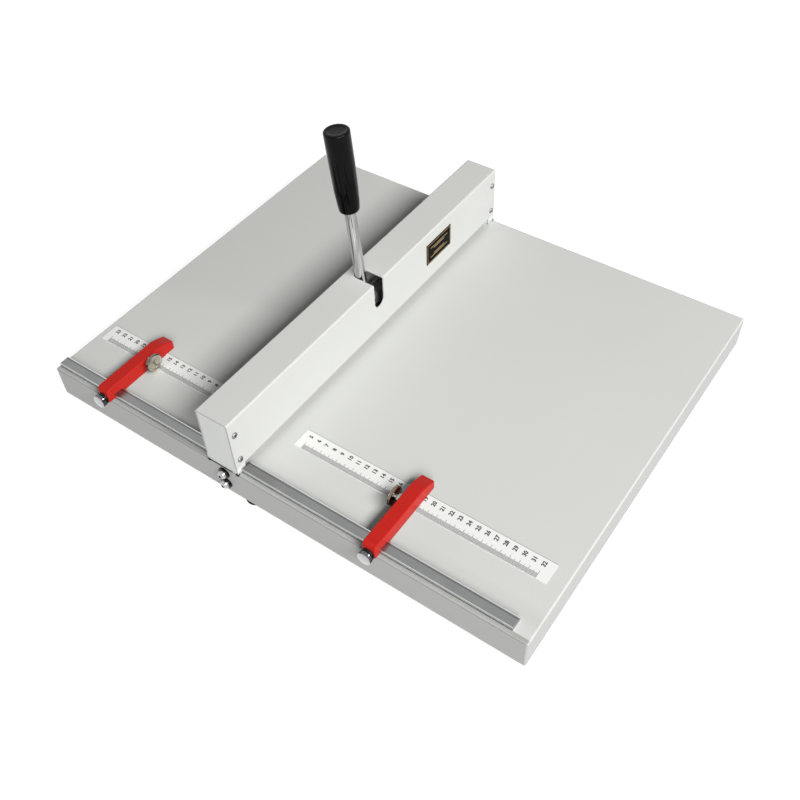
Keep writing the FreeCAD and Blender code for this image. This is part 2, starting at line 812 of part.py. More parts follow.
def lever():
    across = both("hub_width + 2 * overcut")
    barrel = cylinder("y", "hub_radius", both("hub_width"), ("0", "0"))
    edge = number("hub_width / 2")
    eased = soften(barrel, "hub_chamfer", lambda at, run: abs(abs(at.y) - edge) < NEAR, "Part::Chamfer")
    bore = cylinder("y", "shaft_radius", across, ("0", "0"))
    flat = block(both("2 * hub_radius"), across, ("hub_flat", "hub_radius + overcut"))
    socket = cylinder("z", "stub_radius", ("stub_start", "hub_radius"), ("0", "0"))
    drilled = lean_back(cut(eased, bore, flat, socket))
    node("lever_hub", cut(drilled, cross_pin("0", "hub_radius")))

    rod_end = "(grip_start + rod_in_grip)"
    rod = turned([
        ("0", "stub_start"),
        ("stub_radius", "stub_start"),
        ("stub_radius", "hub_flat"),
        ("rod_radius", "hub_flat"),
        ("rod_radius", f"{rod_end} - rod_chamfer"),
        ("rod_radius - rod_chamfer", rod_end),
        ("0", rod_end),
    ])
    node("lever_rod", lean_back(rod))

    tip = "(grip_start + grip_length)"
    handle = turned([
        ("rod_radius", "grip_start"),
        ("grip_foot_radius", "grip_start"),
        ("grip_waist_radius", "grip_start + grip_waist_at"),
        ("grip_head_radius", "grip_start + grip_head_at"),
        ("grip_head_radius", tip),
        ("grip_head_radius - grip_rim", tip),
        ("grip_head_radius - grip_rim - grip_dish", f"{tip} - grip_dish"),
        ("0", f"{tip} - grip_dish"),
        ("0", rod_end),
        ("rod_radius", rod_end),
    ])
    round_ring(handle, "grip_head_round", tip, "grip_head_radius")
    round_ring(handle, "grip_foot_round", "grip_start", "grip_foot_radius")
    node("lever_grip", lean_back(handle))


# ---------------------------------------------------------------- press

def blade_screw_places():
    """Y of the screws that clamp the blade."""
    count = round(number("blade_screw_count"))
    return [f"({index} - (blade_screw_count - 1) / 2) * blade_screw_pitch" for index in range(count)]


def press():
    face = "(blade_thick / 2)"
    section = [
        ("-beam_width / 2", BEAM_LOW),
        (f"-{face}", BEAM_LOW),
        (f"-{face}", STEP),
        ("beam_width / 2", STEP),
        ("beam_width / 2", BEAM_HIGH),
        ("-beam_width / 2", BEAM_HIGH),
    ]
    bar = prism("XZ_Plane", section, f"2 * {DIE_END}")
    guide_end = f"({PLATE} + guide_depth - beam_end_gap)"
    runner = block(both("guide_width - 2 * guide_fit"), both(f"2 * {guide_end}"), (BEAM_LOW, BEAM_HIGH))
    middle = block(("-overcut", "beam_width"), both(f"2 * {DIE_END}"), (f"{BEAM_LOW} - overcut", STEP))
    ends = cut(runner, middle)
    holes = []
    for place in blade_screw_places():
        reach = ("-blade_screw_grip", "beam_width / 2")
        holes.append(cylinder("x", "blade_screw_radius", reach, (place, f"{BEAM_LOW} + beam_step / 2")))
    roots = []
    for side in (-1, 1):
        deep = (f"{BEAM_HIGH} - lift_root", f"{BEAM_HIGH} + overcut")
        roots.append(cylinder("z", "lift_radius", deep, ("-lift_place", f"{side} * {LIFT_Y}")))
    node("blade_beam", cut(fuse(bar, ends), *holes, *roots))

    blade_run = both(f"2 * ({DIE_END} - blade_end_gap)")
    blade = block(both("blade_thick"), blade_run, (f"{TOP} + blade_gap", STEP))
    edge = number(f"{TOP} + blade_gap")
    rounded = soften(blade, "blade_round", lambda at, run: along(run, 1) and at.z < edge + NEAR)
    node("creasing_blade", cut(rounded, *holes))

    strip = block(
        (face, f"{face} + strip_thick"),
        blade_run,
        (f"{BEAM_LOW} + strip_gap", f"{STEP} - strip_gap"),
    )
    node("blade_clamp_strip", cut(strip, *holes))

    screws = []
    for place in blade_screw_places():
        centre = (place, f"{BEAM_LOW} + beam_step / 2")
        front = f"({face} + strip_thick)"
        head = cylinder("x", "blade_screw_head", (front, f"{front} + blade_screw_head_height"), centre)
        screws.append(fuse(head, cylinder("x", "blade_screw_radius", ("-blade_screw_grip", front), centre)))
    node("blade_screws", group(*screws))

    for name, side in (("left", -1), ("right", 1)):
        across = (f"{side} * cam_place - pad_length / 2", f"{side} * cam_place + pad_length / 2")
        pad = block(both("pad_width"), across, (BEAM_HIGH, f"{CAM_SEAT} - pad_gap"))
        crown = number(f"{CAM_SEAT} - pad_gap")
        eased = soften(pad, "pad_chamfer", lambda at, run: at.z > crown - NEAR, "Part::Chamfer")
        node(f"{name}_cam_pad", eased)


def coil_spring(y):
    """A compression spring with closed ends, as a six-sided wire bent to a coil.

    The first and the last turn rise by little more than the wire, and the turns
    between them share the rest of the height.
    """
    radius = number("spring_radius")
    wire = number("spring_wire")
    closed = number("spring_closed_pitch")
    turns = number("spring_turns")
    rise = number(f"{SPRING_HIGH} - {SPRING_LOW}") - 2 * wire
    pitch = (rise - 2 * closed) / (turns - 2)
    bends = 12

    def height(turn):
        open_turns = min(max(turn - 1, 0), turns - 2)
        return closed * (turn - open_turns) + pitch * open_turns

    points = []
    for step in range(round(turns * bends) + 1):
        turn = step / bends
        angle = 2 * math.pi * turn
        points.append(FreeCAD.Vector(radius * math.cos(angle), radius * math.sin(angle), height(turn)))
    heading = (points[1] - points[0]).normalize()
    upright = FreeCAD.Vector(0, 0, 1)
    corner = (upright - heading * upright.dot(heading)).normalize() * wire
    corners = [points[0] + FreeCAD.Rotation(heading, 60 * side).multVec(corner) for side in range(7)]
    spring = doc.addObject("Part::Feature", "spring")
    spring.Shape = Part.makePolygon(points).makePipeShell([Part.makePolygon(corners)], True, False, 1)
    tie(spring, Placement__Base__x="-lift_place", Placement__Base__y=y)
    return tie(spring, Placement__Base__z=f"{SPRING_LOW} + spring_wire")


def lift_gear():
    y = f"-{LIFT_Y}"
    centre = ("-lift_place", y)
    stem = cylinder("z", "lift_radius", (f"{BEAM_HIGH} - lift_root", SPRING_HIGH), centre)
    cap = cylinder("z", "lift_cap_radius", (SPRING_HIGH, f"{SPRING_HIGH} + lift_cap_height"), centre)
    rod = node("left_lift_rod", fuse(stem, cap))
    node("right_lift_rod", mirrored(rod))

    wide = ("-(lift_place + bracket_width / 2)", "-(lift_place - bracket_width / 2)")
    leaf_z = (BRACKET_LOW, f"{BRACKET_LOW} + bracket_height")
    leaf = block(wide, (f"-{PLATE}", f"-({PLATE} - bracket_sheet)"), leaf_z)
    shelf = block(wide, (f"-{PLATE}", f"-({PLATE} - bracket_reach)"), (BRACKET_LOW, SPRING_LOW))
    through = (f"{BRACKET_LOW} - overcut", f"{SPRING_LOW} + overcut")
    hole = cylinder("z", "lift_radius + bracket_hole_gap", through, centre)
    screw_place = ("-lift_place", f"{BRACKET_LOW} + bracket_screw_at")
    inner = f"-({PLATE} - bracket_sheet)"
    tapped = cylinder("y", "bracket_screw_radius", (f"-({PLATE} + bracket_screw_grip)", inner), screw_place)
    bracket = node("left_spring_bracket", cut(fuse(leaf, shelf), hole, tapped))
    node("right_spring_bracket", mirrored(bracket))

    head = cylinder("y", "bracket_screw_head", (inner, f"{inner} + bracket_screw_head_height"), screw_place)
    screw = fuse(head, tapped)
    node("bracket_screws", group(screw, mirrored(screw)))
    node("left_return_spring", coil_spring(y))
    node("right_return_spring", coil_spring(LIFT_Y))


# ---------------------------------------------------------------- rails and gauges

def rail_screw_places():
    """X and Y of the screws that hold the rails from below."""
    y = f"-({RAIL_FACE} - rail_width / 2)"
    near = "(cover_width / 2 + rail_screw_margin)"
    far_front = "(front_rail_end - rail_screw_margin)"
    far_rear = "(rear_rail_end - rail_screw_margin)"
    spots = [near, f"({near} + {far_front}) / 2", far_front]
    spots += [f"-{near}", f"-({near} + {far_rear}) / 2", f"-{far_rear}"]
    return [(x, y) for x in spots]


def rails():
    beside = "(cover_width / 2 + rail_house_gap)"
    spans = {
        "front_rail": (beside, "front_rail_end"),
        "rear_rail": ("-rear_rail_end", f"-{beside}"),
    }
    crown = number(f"{TOP} + rail_height")
    tapped = []
    screws = []
    under = f"({TOP} - pan_sheet)"
    for place in rail_screw_places():
        tapped.append(cylinder("z", "rail_screw_radius", (TOP, f"{TOP} + rail_screw_grip"), place))
        shank = cylinder("z", "rail_screw_radius", (under, f"{TOP} + rail_screw_grip"), place)
        head = cylinder("z", "rail_screw_head", (f"{under} - rail_screw_head_height", under), place)
        screws.append(fuse(head, shank))
    for name, x_span in spans.items():
        bar = block(x_span, (f"-{RAIL_FACE}", f"-{RAIL_BACK}"), (TOP, f"{TOP} + rail_height"))
        eased = soften(bar, "rail_chamfer", lambda at, run: at.z > crown - NEAR, "Part::Chamfer")
        node(name, cut(eased, *tapped))
    node("rail_screws", group(*screws))


def gauge(name, middle, side):
    """One gauge: arm, clamp screw and fine-adjust stop, on the side that faces the bridge."""
    low = f"({TOP} + arm_lift)"
    high = f"({TOP} + arm_lift + arm_height)"
    notch = f"({TOP} + rail_height + play)"
    jaw_back = f"({RAIL_FACE} + arm_rail_fit)"
    notch_back = f"({RAIL_BACK} - arm_rail_fit)"
    tip = f"({JAW} - arm_front - arm_reach)"
    points = [
        (f"-{JAW}", low),
        (f"-{jaw_back}", low),
        (f"-{jaw_back}", notch),
        (f"-{notch_back}", notch),
        (f"-{notch_back}", low),
        (f"-{tip}", low),
        (f"-{tip}", f"{TOP} + arm_tip_height"),
        (f"-({tip} + arm_slope)", high),
        (f"-{JAW}", high),
    ]
    arm = prism("YZ_Plane", points, "arm_width")
    flank = number("arm_width / 2")
    crown = number(high) - NEAR
    outer_end = -number(JAW)
    roof = number(notch)
    halfway = number(f"({low} + {notch}) / 2") + NEAR

    def nose(at, run):
        return along(run, 0) and at.z > crown and at.y < outer_end + NEAR

    def knee(at, run):
        return along(run, 0) and at.z > crown and at.y > outer_end + NEAR

    def outer_edge(at, run):
        return abs(abs(at.x) - flank) < NEAR and at.z > halfway and abs(at.z - roof) > NEAR

    for radius, test in (("arm_nose", nose), ("arm_bend", knee), ("arm_round", outer_edge)):
        doc.recompute()
        add_fillet(arm, radius, edges_where(arm.Tip.Shape, test))
    stud_z = (f"-({HALF} - stop_inset)", STOP_Z)
    drilled = cut(
        arm,
        cylinder("x", "stud_radius", span(side, "arm_width / 2 - stud_hole", "arm_width"), stud_z),
        cylinder("y", "clamp_radius", (f"-({JAW} + overcut)", f"-({jaw_back} - overcut)"), ("0", CLAMP_Z)),
    )
    carry(node(f"{name}_gauge_arm", drilled), middle)

    clamp_y = f"-{COLLAR_FACE}"
    outer = f"-({COLLAR_FACE} + clamp_head_thick)"
    head = cylinder("y", "clamp_head_radius", (outer, clamp_y), ("0", CLAMP_Z))
    eased = soften(head, "clamp_head_chamfer", lambda at, run: True, "Part::Chamfer")
    reach = (clamp_y, f"-({RAIL_FACE} + clamp_end_gap)")
    shank = cylinder("y", "clamp_radius - play / 2", reach, ("0", CLAMP_Z))
    carry(node(f"{name}_clamp_screw", fuse(eased, shank)), middle)
    ring_y = (clamp_y, f"-({JAW} + play)")
    ring = cylinder("y", "collar_radius", ring_y, ("0", CLAMP_Z))
    bore = cylinder("y", "clamp_radius - play / 2", ring_y, ("0", CLAMP_Z))
    carry(node(f"{name}_clamp_collar", cut(ring, bore)), middle)

    near = "(arm_width / 2 + stop_stand_off)"
    far = f"({near} + stop_thick)"
    stud_end = f"({far} - stop_skin)"
    disc = cylinder("x", "stop_radius", span(side, near, far), stud_z)
    edge = soften(disc, "stop_rim", lambda at, run: True, "Part::Chamfer")
    dish = cylinder("x", "stop_dish_radius", span(side, f"{far} - stop_dish", f"{far} + overcut"), stud_z)
    seat = cylinder("x", "stud_radius - play / 2", span(side, f"{near} - overcut", stud_end), stud_z)
    carry(node(f"{name}_stop_disc", cut(edge, dish, seat)), middle)
    reach = span(side, "arm_width / 2 - stud_grip", stud_end)
    stud = cylinder("x", "stud_radius - play / 2", reach, stud_z)
    eased = soften(stud, "stud_chamfer", lambda at, run: side * at.x < 0, "Part::Chamfer")
    carry(node(f"{name}_stop_stud", eased), middle)
    nut = doc.addObject("Part::Prism", "nut")
    nut.Polygon = 6
    nut.Placement.Rotation = AXES["x"]
    start = "arm_width / 2" if side > 0 else "-(arm_width / 2 + nut_thick)"
    tie(nut, Circumradius="nut_flats / sqrt(3)", Height="nut_thick")
    tie(nut, Placement__Base__x=start, Placement__Base__y=stud_z[0], Placement__Base__z=STOP_Z)
    tapped = cylinder("x", "stud_radius", span(side, "arm_width / 2 - overcut", "arm_width"), stud_z)
    carry(node(f"{name}_lock_nut", cut(nut, tapped)), middle)


def carry(thing, x):
    """Carry a piece that was made about X = 0 to its place along the tables."""
    return tie(thing, Placement__Base__x=x)


# ---------------------------------------------------------------- flat trim

def rulers_and_badge():
    strip = (f"-({HALF} - ruler_inset)", f"-({HALF} - ruler_inset - ruler_width)")
    level = (TOP, f"{TOP} + ruler_thick")
    node("front_ruler", block(("ruler_start", "front_ruler_end"), strip, level))
    node("rear_ruler", block(("-rear_ruler_end", "-ruler_start"), strip, level))
    badge = block(
        ("cover_width / 2", "cover_width / 2 + badge_thick"),
        ("badge_near", "badge_near + badge_length"),
        (f"{TOP} + badge_low", f"{TOP} + badge_low + badge_height"),
    )
    node("badge_plate", soften(badge, "badge_round", lambda at, run: along(run, 0)))


# ---------------------------------------------------------------- build and export

base_pan()
feet()
die_and_channel()
end_plates()
end_plate_bolts()
bridge_cover()
cover_screws()
shaft_and_bushes()
cams()
lever()
press()
lift_gear()
rails()
gauge("front", "front_gauge_at", -1)
gauge("rear", "rear_gauge_at", 1)
rulers_and_badge()
doc.recompute()

for item in doc.Objects:
    if "Invalid" in item.State or "Error" in item.State:
        raise RuntimeError(f"{item.Label} did not build: {item.State}")
for name, thing in pieces.items():
    shape = thing.Shape
    if shape.isNull() or not shape.isValid() or not shape.Solids:
        raise RuntimeError(f"{name} is not a valid solid")

os.makedirs("parts", exist_ok=True)
for name, thing in pieces.items():
    thing.Shape.exportStep(f"parts/{name}.step")
    print(f"{name}: {len(thing.Shape.Solids)} solid(s), {thing.Shape.Volume:.0f} mm3")
print(len(pieces), "sub-parts")
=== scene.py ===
# %% [markdown]
# # A desktop paper creasing machine
# Card that is folded without a crease cracks along the fold. This machine presses a
# line into it first: a hand lever turns a shaft in a long housing, and cams on the
# shaft push a blade onto a grooved bar between two flat tables.
#
# The solids of the machine arrive as a finished frame. This lesson dresses them: it
# sets up a plain studio, mixes the finishes, and then models by hand the small
# pieces that need more shape than the solids have.

# %% Load the frame
import math

import bmesh
import bpy
from mathutils import Matrix, Vector


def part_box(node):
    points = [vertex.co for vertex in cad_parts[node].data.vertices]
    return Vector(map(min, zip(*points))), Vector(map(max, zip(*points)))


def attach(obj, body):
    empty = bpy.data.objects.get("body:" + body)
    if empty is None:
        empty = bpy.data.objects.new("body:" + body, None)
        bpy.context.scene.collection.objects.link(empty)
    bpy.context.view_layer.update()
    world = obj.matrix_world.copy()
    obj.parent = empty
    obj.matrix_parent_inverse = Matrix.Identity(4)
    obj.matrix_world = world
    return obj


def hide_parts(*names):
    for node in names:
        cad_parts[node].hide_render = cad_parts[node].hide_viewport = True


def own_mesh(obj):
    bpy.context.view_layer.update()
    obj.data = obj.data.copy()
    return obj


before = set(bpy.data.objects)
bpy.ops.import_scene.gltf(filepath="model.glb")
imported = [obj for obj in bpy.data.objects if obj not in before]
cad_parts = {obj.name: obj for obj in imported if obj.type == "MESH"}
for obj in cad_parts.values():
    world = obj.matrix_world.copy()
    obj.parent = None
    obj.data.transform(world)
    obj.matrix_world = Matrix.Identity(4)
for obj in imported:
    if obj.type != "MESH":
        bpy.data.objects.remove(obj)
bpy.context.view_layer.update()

MM = 0.001

# %% [markdown]
# ## Settling the workspace
# Loading leaves every solid selected, and an operator acts on all that is selected.
# So each modelling step starts from a clean state: object mode and nothing chosen.

# %% Start clean
def start_clean():
    """Object mode, with nothing selected."""
    if bpy.context.mode != "OBJECT":
        bpy.ops.object.mode_set(mode="OBJECT")
    bpy.ops.object.select_all(action="DESELECT")


def select_only(*pieces):
    """Select these pieces, the last one active."""
    start_clean()
    for piece in pieces:
        piece.select_set(True)
        bpy.context.view_layer.objects.active = piece


start_clean()
bpy.context.scene.view_settings.view_transform = "Standard"
print("selected:", len(bpy.context.selected_objects))

# %% [markdown]
# ## The camera
# The machine is long and low, so it is seen from above one corner. A camera can be
# turned by Euler angles, but a matrix built from three clear directions is easier to
# check: one axis points back from the target, one to the right and one up, and the
# last two are then rolled a little.

# %% Place the camera
VIEW_TARGET = Vector((0.09606, -0.07124, 0.046))
VIEW_AZIMUTH = math.radians(37.06)
VIEW_ELEVATION = math.radians(48.28)
VIEW_ROLL = math.radians(-2.75)
VIEW_DISTANCE = 1.01102
LENS = 43.34
SENSOR_WIDTH = 36

back = Vector((
    math.sin(VIEW_AZIMUTH) * math.cos(VIEW_ELEVATION),
    -math.cos(VIEW_AZIMUTH) * math.cos(VIEW_ELEVATION),
    math.sin(VIEW_ELEVATION),
))
level_right = Vector((0, 0, 1)).cross(back).normalized()
level_up = back.cross(level_right)
right = math.cos(VIEW_ROLL) * level_right + math.sin(VIEW_ROLL) * level_up
up = math.cos(VIEW_ROLL) * level_up - math.sin(VIEW_ROLL) * level_right

bpy.ops.object.camera_add()
camera = bpy.context.object
camera.name = "camera"
camera.data.lens = LENS
camera.data.sensor_width = SENSOR_WIDTH
camera.matrix_world = Matrix.Translation(VIEW_TARGET + back * VIEW_DISTANCE) @ Matrix(
    (right, up, back)
).transposed().to_4x4()
bpy.context.scene.camera = camera
print("camera at", [round(c, 3) for c in camera.matrix_world.translation])

# %% [markdown]
# ## Wiring nodes
# Every finish is a small network. One helper adds a node with its settings, and one
# joins sockets by name, so that a network reads as a list of what feeds what.

# %% Node helpers
def add_node(tree, kind, inputs=None, **settings):
    """A shader node with its properties and its unlinked inputs set."""
    node = tree.nodes.new(f"ShaderNode{kind}")
    for name, value in settings.items():
        setattr(node, name, value)
    for name, value in (inputs or {}).items():
        node.inputs[name].default_value = value
    return node


def wire(tree, *links):
    """Join sockets: each link is (node, output, node, input)."""
    for source, output, target, socket in links:
        tree.links.new(source.outputs[output], target.inputs[socket])


def seen_directly(tree):
    """A socket that is 1 for camera, glossy and transmission rays and 0 for the rest."""
    path = add_node(tree, "LightPath")
    first = add_node(tree, "Math", operation="ADD")
    second = add_node(tree, "Math", operation="ADD", use_clamp=True)
    wire(
        tree,
        (path, "Is Camera Ray", first, 0),
        (path, "Is Glossy Ray", first, 1),
        (first, "Value", second, 0),
        (path, "Is Transmission Ray", second, 1),
    )
    return second


print("node helpers ready")

# %% [markdown]
# ## The studio
# One long soft lamp lies along the housing, on the operator's side and well back. It
# is narrow across, so the housing throws a shade with a clear edge over the rear
# table, and long the other way, so the upright lever throws almost none. A dim world
# fills that shade. The world and the floor look white to the camera and in
# reflections, but that white adds no light: it is switched by the kind of ray, so the
# paint keeps its own tone. Near the machine the floor glows a little less, so that a
# soft shadow stays, and further out the glow rises until floor and world are one.

# %% Floor
FLOOR_SIDE = 12.0
FLOOR_GREY = 0.34
FLOOR_GLOW = 0.835
GLOW_RISES_FROM = 1.0
GLOW_FULL_AT = 2.2
WHITE = (1, 1, 1, 1)

start_clean()
bpy.ops.mesh.primitive_plane_add(size=FLOOR_SIDE)
floor = bpy.context.object
floor.name = "studio_floor"

floor_paint = bpy.data.materials.new("studio_floor")
floor_paint.use_nodes = True
tree = floor_paint.node_tree
surface = tree.nodes["Principled BSDF"]
surface.inputs["Base Color"].default_value = (FLOOR_GREY, FLOOR_GREY, FLOOR_GREY, 1)
surface.inputs["Roughness"].default_value = 0.9
surface.inputs["Specular IOR Level"].default_value = 0.0
surface.inputs["Emission Color"].default_value = WHITE
place = add_node(tree, "TexCoord")
reach = add_node(tree, "VectorMath", operation="LENGTH")
fade = add_node(
    tree, "MapRange",
    inputs={"From Min": GLOW_RISES_FROM, "From Max": GLOW_FULL_AT, "To Min": FLOOR_GLOW},
)
glow = add_node(tree, "Math", operation="MULTIPLY")
wire(
    tree,
    (place, "Object", reach, 0),
    (reach, "Value", fade, "Value"),
    (seen_directly(tree), "Value", glow, 0),
    (fade, "Result", glow, 1),
    (glow, "Value", surface, "Emission Strength"),
)
floor.data.materials.append(floor_paint)
print("floor", FLOOR_SIDE, "m, glow", FLOOR_GLOW)

# %% World
WORLD_FILL = 0.10

world = bpy.data.worlds.new("studio")
bpy.context.scene.world = world
world.use_nodes = True
tree = world.node_tree
fill = tree.nodes["Background"]
fill.inputs["Color"].default_value = WHITE
fill.inputs["Strength"].default_value = WORLD_FILL
backdrop = add_node(tree, "Background", inputs={"Color": WHITE, "Strength": 1.0})
choice = add_node(tree, "MixShader")
wire(
    tree,
    (seen_directly(tree), "Value", choice, 0),
    (fill, 0, choice, 1),
    (backdrop, 0, choice, 2),
    (choice, 0, tree.nodes["World Output"], 0),
)
print("world fill", WORLD_FILL)

# %% The lamp
LAMP_TOWARD = Vector((0.69, -0.30, 0.65)).normalized()
LAMP_DISTANCE = 4.2
LAMP_LENGTH = 5.4
LAMP_WIDTH = 1.3
LAMP_POWER = 284.0

start_clean()
bpy.ops.object.light_add(type="AREA")
lamp = bpy.context.object
lamp.name = "soft_lamp"
lamp_across = Vector((0, 1, 0)).cross(LAMP_TOWARD).normalized()
lamp_along = LAMP_TOWARD.cross(lamp_across)
lamp.matrix_world = Matrix.Translation(LAMP_TOWARD * LAMP_DISTANCE) @ Matrix(
    (lamp_along, -lamp_across, LAMP_TOWARD)
).transposed().to_4x4()
lamp.data.shape = "RECTANGLE"
lamp.data.size = LAMP_LENGTH
lamp.data.size_y = LAMP_WIDTH
lamp.data.energy = LAMP_POWER
print("lamp", LAMP_POWER, "W from", [round(c, 2) for c in lamp.location])

# %% [markdown]
# ## Shared effects
# Several finishes use the same effects, so each effect is a node group with its own
# dials. A group works on Object coordinates: every object of this frame sits at the
# origin, so the pattern stays fixed to the metal when a piece moves.
#
# The first group is **sprayed paint**. Real enamel from a gun has a fine orange peel,
# a tone that drifts slightly from one hand's breadth to the next, and gloss that
# changes with it. The peel could be displaced, but at this size a bump is enough.

# %% A group and its sockets
def new_group(name, inputs, outputs):
    """A node group with named sockets: inputs are (name, kind, value)."""
    group = bpy.data.node_groups.new(name, "ShaderNodeTree")
    for label, kind, value in inputs:
        socket = group.interface.new_socket(label, in_out="INPUT", socket_type=f"NodeSocket{kind}")
        socket.default_value = value
    for label, kind in outputs:
        group.interface.new_socket(label, in_out="OUTPUT", socket_type=f"NodeSocket{kind}")
    return group, group.nodes.new("NodeGroupInput"), group.nodes.new("NodeGroupOutput")


FINISH_OUTPUTS = (("Colour", "Color"), ("Roughness", "Float"), ("Height", "Float"))


def around_one(tree, source, output, amount_from, amount_socket):
    """1 plus the noise's swing about its middle, times the amount."""
    centred = add_node(tree, "Math", operation="SUBTRACT", inputs={1: 0.5})
    scaled = add_node(tree, "Math", operation="MULTIPLY")
    shifted = add_node(tree, "Math", operation="ADD", inputs={1: 1.0})
    wire(
        tree,
        (source, output, centred, 0),
        (centred, "Value", scaled, 0),
        (amount_from, amount_socket, scaled, 1),
        (scaled, "Value", shifted, 0),
    )
    return shifted


print("group helper ready")

# %% Sprayed paint
paint, dials, out = new_group(
    "sprayed_paint",
    (
        ("Colour", "Color", (0.6, 0.6, 0.6, 1)),
        ("Gloss", "Float", 0.35),
        ("Drift", "Float", 0.06),
        ("Peel Scale", "Float", 420.0),
    ),
    FINISH_OUTPUTS,
)
place = add_node(paint, "TexCoord")
peel = add_node(paint, "TexNoise", inputs={"Detail": 2.0, "Roughness": 0.45})
drift = add_node(paint, "TexNoise", inputs={"Scale": 6.0, "Detail": 3.0})
grit = add_node(paint, "TexNoise", inputs={"Scale": 2600.0, "Detail": 1.0})
tone = around_one(paint, drift, "Fac", dials, "Drift")
tinted = add_node(paint, "HueSaturation")
rough = add_node(paint, "Math", operation="MULTIPLY")
layered = add_node(paint, "Math", operation="MULTIPLY_ADD", inputs={1: 0.12})
wire(
    paint,
    (place, "Object", peel, "Vector"),
    (place, "Object", drift, "Vector"),
    (place, "Object", grit, "Vector"),
    (dials, "Peel Scale", peel, "Scale"),
    (tone, "Value", tinted, "Value"),
    (dials, "Colour", tinted, "Color"),
    (dials, "Gloss", rough, 0),
    (tone, "Value", rough, 1),
    (grit, "Fac", layered, 0),
    (peel, "Fac", layered, 2),
    (tinted, "Color", out, "Colour"),
    (rough, "Value", out, "Roughness"),
    (layered, "Value", out, "Height"),
)
print("group:", paint.name, len(paint.nodes), "nodes")

# %% [markdown]
# **Drawn metal** is metal that was pulled, ground or brushed in one direction. Its
# marks are long in that direction and very thin across it. Stretched noise gives
# exactly that: the coordinates are squeezed along the run and spread across it
# before they reach the texture, and that stretch is a dial of the group.

# %% Drawn metal
drawn, dials, out = new_group(
    "drawn_metal",
    (
        ("Colour", "Color", (0.5, 0.5, 0.5, 1)),
        ("Gloss", "Float", 0.3),
        ("Streaks", "Float", 0.3),
        ("Stretch", "Vector", (900.0, 900.0, 900.0)),
        ("Turn", "Vector", (0.0, 0.0, 0.0)),
    ),
    FINISH_OUTPUTS,
)
place = add_node(drawn, "TexCoord")
stretch = add_node(drawn, "Mapping")
streaks = add_node(drawn, "TexNoise", inputs={"Scale": 1.0, "Detail": 4.0, "Roughness": 0.6})
cloud = add_node(drawn, "TexNoise", inputs={"Scale": 55.0, "Detail": 3.0})
tone = around_one(drawn, streaks, "Fac", dials, "Streaks")
patina = add_node(
    drawn, "MapRange", inputs={"From Min": 0.3, "From Max": 0.7, "To Min": 0.93, "To Max": 1.04}
)
both_tones = add_node(drawn, "Math", operation="MULTIPLY")
tinted = add_node(drawn, "HueSaturation")
rough = add_node(drawn, "Math", operation="DIVIDE")
wire(
    drawn,
    (place, "Object", stretch, "Vector"),
    (dials, "Stretch", stretch, "Scale"),
    (dials, "Turn", stretch, "Rotation"),
    (stretch, "Vector", streaks, "Vector"),
    (place, "Object", cloud, "Vector"),
    (cloud, "Fac", patina, "Value"),
    (tone, "Value", both_tones, 0),
    (patina, "Result", both_tones, 1),
    (both_tones, "Value", tinted, "Value"),
    (dials, "Colour", tinted, "Color"),
    (dials, "Gloss", rough, 0),
    (both_tones, "Value", rough, 1),
    (tinted, "Color", out, "Colour"),
    (rough, "Value", out, "Roughness"),
    (streaks, "Fac", out, "Height"),
)
print("group:", drawn.name, len(drawn.nodes), "nodes")

# %% [markdown]
# **Handled surface** is for plastic, rubber and printed film: a faint mottle from the
# mould, and hair-thin scuffs where hands and paper pass. The scuffs are the crests of
# a strongly distorted noise, cut off by a narrow range so that only lines remain.

# %% Handled surface
handled, dials, out = new_group(
    "handled_surface",
    (
        ("Colour", "Color", (0.02, 0.02, 0.02, 1)),
        ("Gloss", "Float", 0.2),
        ("Scuffs", "Float", 0.25),
        ("Mottle Scale", "Float", 300.0),
    ),
    FINISH_OUTPUTS,
)
place = add_node(handled, "TexCoord")
mottle = add_node(handled, "TexNoise", inputs={"Detail": 3.0})
lines = add_node(handled, "TexNoise", inputs={"Scale": 90.0, "Detail": 2.0, "Distortion": 2.5})
thin = add_node(handled, "MapRange", inputs={"From Min": 0.60, "From Max": 0.64})
scuffed = add_node(handled, "Math", operation="MULTIPLY")
tone = around_one(handled, mottle, "Fac", dials, "Scuffs")
tinted = add_node(handled, "HueSaturation")
rough = add_node(handled, "Math", operation="MULTIPLY_ADD")
wire(
    handled,
    (place, "Object", mottle, "Vector"),
    (place, "Object", lines, "Vector"),
    (dials, "Mottle Scale", mottle, "Scale"),
    (lines, "Fac", thin, "Value"),
    (thin, "Result", scuffed, 0),
    (dials, "Scuffs", scuffed, 1),
    (tone, "Value", tinted, "Value"),
    (dials, "Colour", tinted, "Color"),
    (scuffed, "Value", rough, 0),
    (dials, "Gloss", rough, 1),
    (dials, "Gloss", rough, 2),
    (tinted, "Color", out, "Colour"),
    (rough, "Value", out, "Roughness"),
    (mottle, "Fac", out, "Height"),
)
print("group:", handled.name, len(handled.nodes), "nodes")

# %% [markdown]
# ** Local tones.** Colour is not the same everywhere: dirt sits in a seam and a knurled
# rim is dark. Most blocks here, though, paint light and shade into the colour: painted
# highlights along the rails' edges, painted shade beside a rail, on the table's walls,
# at the foot and the lit side of the end plates, on the backs of the stop discs and on
# the clamp heads, and a painted shadow line along each ruler. Such a place is a block
# of space on the machine, so it is found by Object coordinates. Each block has a gain,
# which multiplies the colour there, a softness, and a lowest and a highest value per
# axis. The letter r stands for the distance from a line along X, for round pieces.

# %% A mask between two values
def mask_between(tree, source, output, low, high, soft):
    """1 between two values and 0 outside, with ramps as wide as the softness."""
    rise = add_node(tree, "MapRange", inputs={"From Min": low - soft, "From Max": low + soft})
    fall = add_node(
        tree, "MapRange",
        inputs={"From Min": high - soft, "From Max": high + soft, "To Min": 1.0, "To Max": 0.0},
    )
    both = add_node(tree, "Math", operation="MULTIPLY")
    wire(
        tree,
        (source, output, rise, "Value"),
        (source, output, fall, "Value"),
        (rise, "Result", both, 0),
        (fall, "Result", both, 1),
    )
    return both


